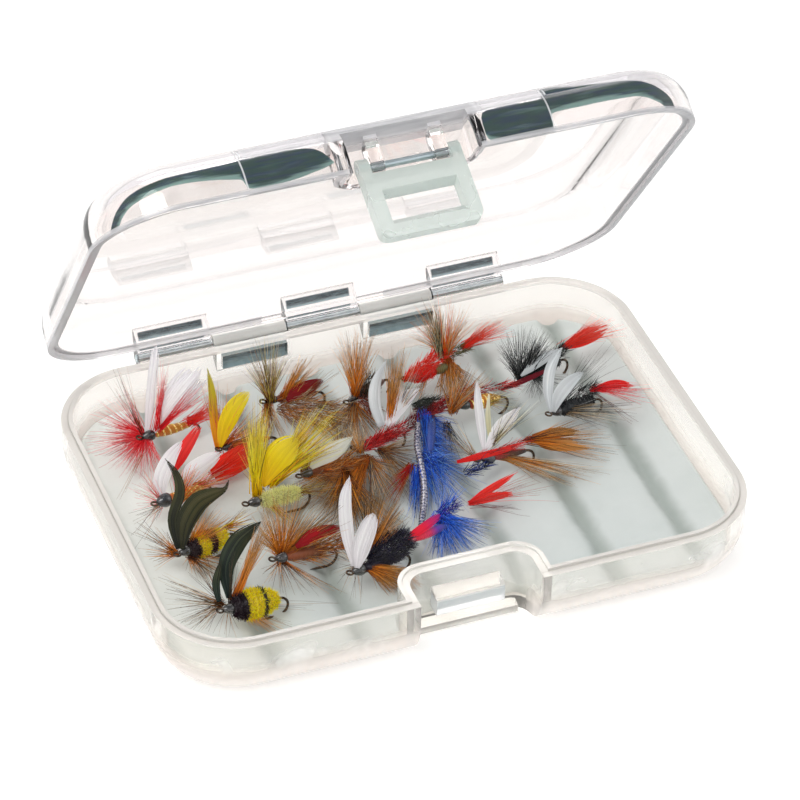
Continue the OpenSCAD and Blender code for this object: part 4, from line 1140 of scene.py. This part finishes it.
f = Fly(11, 12.0, 15.5, 249, 14.0, "tying_blue").head((22, 28, 26), 1.25, x1=3.2)
f.body([(24, 40, 90), (30, 70, 160), (40, 80, 180)], 1.1, x0=2.4, thick0=0.7, thick1=0.5)
f.cord([(418, 424, 11.4), (417, 444, 11.2), (421, 464, 10.4), (424, 484, 9.3), (424, 502, 8.4), (422, 520, 7.8), (420, 538, 7.4)], 0.68,
       [(196, 196, 204), (96, 100, 132), (34, 44, 86), (64, 78, 132)])
f.wool([(412, 408, 12), (424, 405, 12.6), (440, 403, 12)], [10, 14, 11], 260, [[(18, 24, 20), (36, 48, 40)], [(30, 44, 34), (60, 76, 60)]])
for k in range(12):
    f.hackle(34, (2.6, 6.4), [BLUE, NAVY, [(110, 170, 255), (150, 196, 255)]], x=3.0 + k * 1.0, spread=0.9, lean=34, lean_sd=24, r0=0.06, centre=-26, arc=22)
    f.hackle(12, (1.6, 3.2), [BLUE, BLUE, NAVY], x=3.0 + k * 1.0, spread=0.7, lean=40, lean_sd=18, r0=0.07, centre=202, arc=20)
f.fan((424, 412, 12.0), [(434, 440), (438, 466), (436, 492), (430, 512)], 190, [BLUE, NAVY, [(80, 150, 250), (130, 186, 255)]], near=0.35, blur=3.0, r0=0.062, spread=0.8)
f.fan((428, 458, 10.6), [(456, 446), (474, 470), (472, 494), (450, 510), (432, 518)], 210, [BLUE, BLUE, NAVY, [(120, 180, 255), (170, 208, 255)]], near=0.35, r0=0.055, spread=1.2)
f.fan((418, 470, 9.8), [(410, 500), (414, 520), (420, 530)], 90, [BLUE, NAVY], near=0.4, r0=0.06, spread=0.7)
f.fan((412, 466, 9.6), [(386, 480), (382, 500), (396, 508)], 80, [[(176, 20, 24), (210, 44, 38), (170, 70, 50)], BROWN], near=0.4)
f.done()

f = Fly(12, -7.5, -22.5, 22, 12.0, "tying_red").head((226, 30, 60), 0.8, x1=2.4)
f.body([(250, 40, 70), (250, 40, 76), (230, 40, 100), (96, 50, 180), (50, 70, 160), (60, 80, 150)], 0.9)
f.slip([(405, 540, 11.8), (424, 527, 12.2), (441, 514, 11.8)], [5, 8, 8, 6], [(255, 36, 60), (255, 44, 84), (206, 50, 160)], 7)
f.wool([(439, 515, 11.4), (456, 503, 11)], [10, 11], 130, [[(100, 44, 200), (80, 60, 220)], NAVY])
f.fan((441, 516, 10.6), [(428, 550), (440, 560), (456, 557), (472, 550), (486, 537), (490, 522)], 330, [BLUE, BLUE, NAVY, [(90, 150, 250), (140, 184, 255)]], near=0.5, blur=2.0, r0=0.066, spread=0.75, droop=0.02)
f.fan((443, 511, 11), [(430, 488), (444, 474), (458, 480), (468, 494)], 40, [BLUE, [(90, 150, 250), (140, 184, 255)]], near=0.5, r0=0.042)
f.slip([(469, 503, 9.6), (492, 488, 10.2), (521, 470, 11)], [3, 7, 6, 2], [(246, 50, 44), (250, 64, 52)], 5, ragged=0.2)
f.slip([(469, 504, 9.4), (492, 497, 9.2), (516, 493, 9.2)], [3, 8, 7, 3], [(246, 50, 44), (250, 64, 52)], 5, ragged=0.2)
f.fan((470, 503, 9.4), [(528, 462), (534, 480), (548, 494)], 22, [[(240, 50, 44), (226, 90, 80), (150, 90, 84)]], near=0.7, r0=0.055)
f.fan((470, 504, 9.0), [(526, 506), (516, 512)], 7, [[(150, 50, 60), (96, 60, 60)]], near=0.8, r0=0.05)
f.done()

f = Fly(13, 10.5, 24.5, 14, 11.5, "tying_brown").head((200, 40, 30), 0.7, x1=2.0)
f.chenille([(1.0, (255, 44, 28))], 1.55, x0=0.8, x1=7.0, fuzz=1500, length=0.55)
f.wool([(403, 381, 11.4), (424, 367, 12), (447, 349, 12)], [6, 15, 15], 520, [FIRE, FIRE, [(244, 32, 22), (255, 52, 34)]])
f.body([(150, 104, 40), (118, 114, 60), (96, 98, 56)], 1.0, x0=6.0)
f.wool([(445, 357, 11.2), (458, 350, 10.8), (470, 346, 10.2)], [12, 11, 7], 190, [[(110, 92, 36), (150, 134, 60)], [(84, 84, 44), (118, 112, 60)]], length=(0.9, 1.8))
f.fan((446, 354, 11.5), [(410, 334), (420, 310), (440, 298), (460, 306), (474, 322)], 240, [AMBER, AMBER, GOLD, PALE, [(246, 80, 40), (236, 120, 84), (214, 150, 120)]], near=0.42)
f.fan((440, 357, 12), [(424, 318), (434, 304), (446, 310)], 60, [[(60, 60, 36), (96, 92, 60)], [(206, 200, 160), (230, 226, 200)]], near=0.7, blur=2.0)
f.fan((446, 358, 10.8), [(434, 396), (448, 404), (466, 400), (476, 382)], 190, [GOLD, BROWN, AMBER], near=0.45)
f.fan((430, 366, 11), [(408, 400), (418, 404)], 30, [BROWN, AMBER], near=0.5)
f.fan((464, 347, 10.4), [(484, 322), (504, 320), (510, 334)], 110, [FIRE, [(244, 70, 50), (236, 110, 90), (220, 150, 130)]], near=0.5, blur=2.0)
f.done()

f = Fly(14, 17.0, 12.5, 11, 10.0, "tying_gold").head((28, 40, 28), 0.95)
f.body([(170, 30, 24), (236, 150, 20), (240, 190, 30)], 1.5).rib((255, 220, 80), 7)
f.wool([(423, 416, 12), (450, 402, 12.4), (477, 389, 12.4)], [7, 13, 12], 380, [WINE, [(190, 24, 30), (220, 44, 40)], WINE])
f.wool([(470, 392, 12), (496, 387, 11.8), (516, 384, 11.4)], [8, 7, 3], 110, [[(226, 44, 44), (216, 60, 44)], WINE])
f.fan((452, 412, 11.4), [(440, 376), (458, 364), (480, 368), (494, 378)], 130, [GOLD, AMBER, BROWN, PALE], near=0.45)
f.fan((446, 424, 10), [(436, 452), (452, 460), (472, 450)], 90, [PALE, GREY, BLACK], near=0.45)
f.fan((484, 402, 10.6), [(504, 384), (516, 396), (506, 410)], 50, [PALE, STRAW, BROWN], near=0.45, r0=0.055)
f.done()

f = Fly(15, 15.0, -4.0, 7, 10.5, "tying_red").head((24, 38, 62), 1.35, x1=3.2)
f.body([(200, 30, 28), (110, 60, 30), (40, 34, 30)], 0.9)
f.slip([(457, 462, 12), (480, 456, 12.2), (506, 449, 12), (529, 441, 11)], [3, 6, 6, 5, 2], RED, 5, ragged=0.12)
f.wool([(470, 459, 12), (500, 451, 12), (528, 441, 11.2)], [7, 9, 6], 90, [RED, WINE], length=(1.6, 3.4), splay=0.22, r0=0.055)
f.wool([(464, 474, 10), (478, 467, 10.4), (488, 460, 10.6)], [7, 13, 9], 130, [NAVY, [(20, 28, 50), (40, 56, 90)]])
f.slip([(484, 451, 12.4), (481, 425, 15), (478, 400, 18.5), (477, 379, 21.3)], [3, 8, 9, 7, 2], WHITE, 7)
f.slip([(486, 450, 12.4), (497, 433, 14), (508, 420, 16), (521, 406, 18)], [3, 12, 15, 11, 2], WHITE, 9)
f.slip([(490, 441, 13), (488, 415, 16.5), (489, 391, 19)], [2, 5, 4, 1], [(216, 212, 170), (240, 238, 222)], 4)
f.fan((492, 446, 12.4), [(502, 404), (524, 396), (540, 406)], 40, [PALE, [(214, 208, 160), (240, 236, 214)], BLACK], near=0.55, r0=0.055)
f.fan((500, 456, 10), [(548, 480), (578, 480), (602, 464)], 130, [GOLD, BROWN, PALE], near=0.4)
f.slip([(532, 438, 9.6), (556, 444, 9.2), (598, 449, 8.4)], [4, 14, 12, 1], [(196, 116, 40), (222, 156, 72), (226, 180, 116)], 9, ragged=0.2)
f.slip([(532, 436, 9.8), (560, 432, 9.6), (590, 434, 9)], [3, 9, 8, 1], [(176, 104, 36), (206, 146, 70), (206, 166, 110)], 6, ragged=0.25)
f.fan((528, 440, 9.8), [(570, 420), (600, 428), (612, 442), (598, 458)], 130, [GOLD, GOLD, AMBER, DARK], near=0.45)
f.fan((478, 460, 10.8), [(452, 446), (444, 430), (456, 418)], 30, [BROWN, GREY, PALE], near=0.5, r0=0.055)
f.done()

f = Fly(16, 32.5, 18.0, 19, 11.0, "tying_black").head((30, 20, 24), 1.0)
f.chenille([(1.0, (24, 30, 34))], 1.3, fuzz=700, length=0.5)
f.wool([(530, 378, 11), (548, 363, 11.4), (565, 347, 11.4)], [9, 14, 8], 330, [BLACK, [(18, 22, 24), (34, 40, 42)]])
f.slip([(521, 376, 12.6), (538, 362, 13.4), (562, 348, 14)], [2, 9, 10, 3], COOL, 7)
f.slip([(501, 390, 11), (525, 380, 11.4), (549, 369, 11.4)], [2, 5, 5, 3], [(124, 14, 34), (150, 24, 46)], 4)
f.fan((520, 379, 11), [(498, 356), (504, 336), (522, 326), (544, 330), (558, 342)], 200, [BLACK, BLACK, GREY], near=0.45)
f.fan((526, 372, 12), [(528, 342), (542, 334), (550, 344)], 90, [[(20, 22, 24), (30, 34, 36), (50, 54, 56)]], near=0.5, r0=0.085)
f.fan((536, 376, 10), [(524, 396), (548, 394), (572, 376)], 70, [GREY, BLACK], near=0.5, r0=0.055)
f.slip([(563, 348, 10.8), (586, 337, 11.2), (610, 326, 12)], [4, 14, 15, 9], [(246, 44, 34), (250, 66, 50), (244, 104, 90)], 9, ragged=0.25)
f.fan((564, 347, 10.8), [(594, 316), (614, 320), (620, 332)], 90, [FIRE, [(244, 70, 54), (240, 120, 104)]], near=0.6, blur=2.0)
f.done()

f = Fly(17, 33.5, 4.5, 16, 11.5, "tying_black").head((26, 24, 26), 1.05)
f.chenille([(1.0, (26, 32, 36))], 1.6, fuzz=1200, length=0.45)
f.wool([(560, 410, 11), (578, 398, 11), (597, 386, 10.6)], [10, 16, 10], 220, [BLACK, [(18, 22, 24), (34, 40, 42)]])
f.slip([(551, 412, 12), (548, 390, 14.5), (551, 367, 17.5), (563, 346, 20)], [3, 9, 11, 9, 2], COOL, 8, ragged=0.03)
f.slip([(554, 412, 12), (559, 396, 14), (570, 382, 16), (585, 371, 18)], [3, 11, 14, 11, 3], COOL, 9, ragged=0.06)
f.slip([(590, 391, 10.2), (616, 384, 10.2), (640, 389, 10)], [4, 8, 8, 2], [(240, 32, 34), (246, 48, 44)], 6, ragged=0.2)
f.fan((594, 389, 10.2), [(640, 378), (652, 392), (634, 402)], 60, [SCARLET, [(240, 40, 40), (236, 80, 76)]], near=0.5, r0=0.055)
f.fan((558, 411, 10.4), [(604, 424), (626, 412), (632, 396)], 110, [GREY, BLACK, PALE], near=0.45, r0=0.06)
f.fan((560, 400, 12.4), [(586, 354), (606, 342), (624, 350)], 40, [GREY, BLACK], near=0.5, r0=0.05)
f.fan((594, 392, 9.4), [(630, 410), (640, 430)], 6, [[(150, 60, 60), (110, 60, 60)]], near=0.7, r0=0.05)
f.done()

f = Fly(18, -18.5, 27.0, 7, 11.5, "tying_red").head((40, 30, 24), 0.8)
f.body([(130, 64, 24), (120, 34, 24)], 1.0)
f.wool([(276, 406, 10.4), (304, 410, 10), (338, 418, 9)], [18, 30, 26], 520, [BROWN, GOLD, PALE, BROWN], length=(2.6, 5.5), splay=0.5, r0=0.065)
f.slip([(287, 401, 12), (300, 391, 12.4), (324, 380, 12.4)], [4, 13, 14, 6], DEEP, 9, ragged=0.03)
f.fan((270, 400, 11.4), [(246, 370), (250, 350), (264, 338), (280, 344), (292, 354)], 170, [STRAW, PALE, BROWN, DARK], near=0.42)
f.fan((284, 397, 11.4), [(294, 368), (306, 358), (316, 370)], 130, [AMBER, GOLD], near=0.5, blur=2.0)
f.fan((268, 404, 10.5), [(248, 438), (266, 448), (288, 442)], 120, [BROWN, PALE, GOLD], near=0.45)
f.fan((300, 400, 11), [(322, 366), (336, 372)], 14, [BROWN, DARK], near=0.6, r0=0.05)
f.done()

f = Fly(19, -19.5, 3.0, 18, 11.0, "tying_brown").head((60, 50, 30), 0.9)
f.body([(140, 70, 24), (160, 96, 40)], 1.2)
f.wool([(300, 474, 10), (326, 470, 10.4), (354, 460, 10.6)], [10, 18, 14], 380, [GOLD, AMBER, BROWN], length=(2.0, 4.0), splay=0.45)
f.slip([(311, 468, 13), (322, 457, 14), (338, 448, 14.6), (354, 436, 15.2)], [4, 14, 18, 13, 2], [(236, 234, 218), (248, 247, 238), (236, 238, 228)], 9, ragged=0.03)
f.fan((346, 462, 10.2), [(300, 468), (294, 484), (306, 496), (324, 502)], 160, [AMBER, GOLD, BROWN], near=0.4)
f.fan((306, 474, 10.4), [(292, 456), (302, 440), (318, 434)], 50, [BROWN, STRAW, PALE], near=0.45)
f.fan((340, 452, 10.4), [(330, 428), (344, 418), (360, 424)], 70, [PALE, BROWN], near=0.45)
f.done()


# ---------------------------------------------------------------- floor, lights, world
def floor_material():
    n = Nodes("floor_paper")
    oc = n.object_coords()
    n.set(Base_Color=n.mix_colour(n.noise(3.0, 3.0, 0.5, oc), lin(250, 250, 250), lin(254, 254, 254)))
    n.set(Roughness=0.9, Emission_Strength=0.22)
    n.bsdf.inputs["Emission Color"].default_value = (1, 1, 1, 1)
    return n.mat


floor_mesh = bpy.data.meshes.new("floor")
s = 6.0
floor_mesh.from_pydata([(-s, -s, -0.0002), (s, -s, -0.0002), (s, s, -0.0002), (-s, s, -0.0002)], [], [(0, 1, 2, 3)])
floor_mesh.materials.append(floor_material())
floor = link_object("floor", floor_mesh)


def area_light(name, at_m, to_m, size, power, colour=(1, 1, 1), glossy=True):
    d = bpy.data.lights.new(name, "AREA")
    d.shape = "RECTANGLE"
    d.size, d.size_y = size
    d.energy = power
    d.color = colour
    o = bpy.data.objects.new(name, d)
    scene.collection.objects.link(o)
    o.location = at_m
    o.rotation_mode = "QUATERNION"
    o.rotation_quaternion = (Vector(to_m) - Vector(at_m)).to_track_quat("-Z", "Y")
    o.visible_glossy = glossy
    return o


area_light("key", (-0.55, -0.25, 1.0), (0, 0, 0.01), (0.5, 0.5), 5.2, (1.0, 0.985, 0.96))
area_light("fill", (0.75, -0.55, 0.7), (0, 0, 0.01), (0.6, 0.6), 1.6, (0.96, 0.98, 1.0))
area_light("front", (-0.2, -1.0, 0.22), (0, 0, 0.01), (1.3, 0.4), 1.4, (1.0, 0.99, 0.97), glossy=False)
area_light("back", (0.1, 0.9, 0.75), (0, 0, 0.03), (0.9, 0.4), 2.4)

world = bpy.data.worlds.new("studio")
scene.world = world
world.use_nodes = True
wt = world.node_tree
bg = wt.nodes["Background"]
bg.inputs["Color"].default_value = (1.0, 1.0, 1.0, 1.0)
bg.inputs["Strength"].default_value = 0.46
# what the gloss sees: bright walls, a dark ceiling
tc = wt.nodes.new("ShaderNodeTexCoord")
sep = wt.nodes.new("ShaderNodeSeparateXYZ")
wt.links.new(tc.outputs["Generated"], sep.inputs[0])
mr = wt.nodes.new("ShaderNodeMapRange")
mr.interpolation_type = "SMOOTHSTEP"
mr.inputs["From Min"].default_value = 0.55
mr.inputs["From Max"].default_value = 0.8
mr.inputs["To Min"].default_value = 1.0
mr.inputs["To Max"].default_value = 0.56
wt.links.new(sep.outputs["Z"], mr.inputs["Value"])
bg2 = wt.nodes.new("ShaderNodeBackground")
bg2.inputs["Color"].default_value = (0.97, 0.97, 1.0, 1.0)
wt.links.new(mr.outputs["Result"], bg2.inputs["Strength"])
lp = wt.nodes.new("ShaderNodeLightPath")
anyg = wt.nodes.new("ShaderNodeMath")
anyg.operation = "MAXIMUM"
wt.links.new(lp.outputs["Is Glossy Ray"], anyg.inputs[0])
wt.links.new(lp.outputs["Is Transmission Ray"], anyg.inputs[1])
wmix = wt.nodes.new("ShaderNodeMixShader")
wt.links.new(anyg.outputs[0], wmix.inputs[0])
wt.links.new(bg.outputs[0], wmix.inputs[1])
wt.links.new(bg2.outputs[0], wmix.inputs[2])
wt.links.new(wmix.outputs[0], wt.nodes["World Output"].inputs["Surface"])

scene.view_settings.view_transform = "Standard"
scene.view_settings.look = "None"
scene.cycles.max_bounces = 28
scene.cycles.transmission_bounces = 28
scene.cycles.transparent_max_bounces = 24
scene.cycles.sample_clamp_indirect = 6.0

bpy.context.view_layer.update()
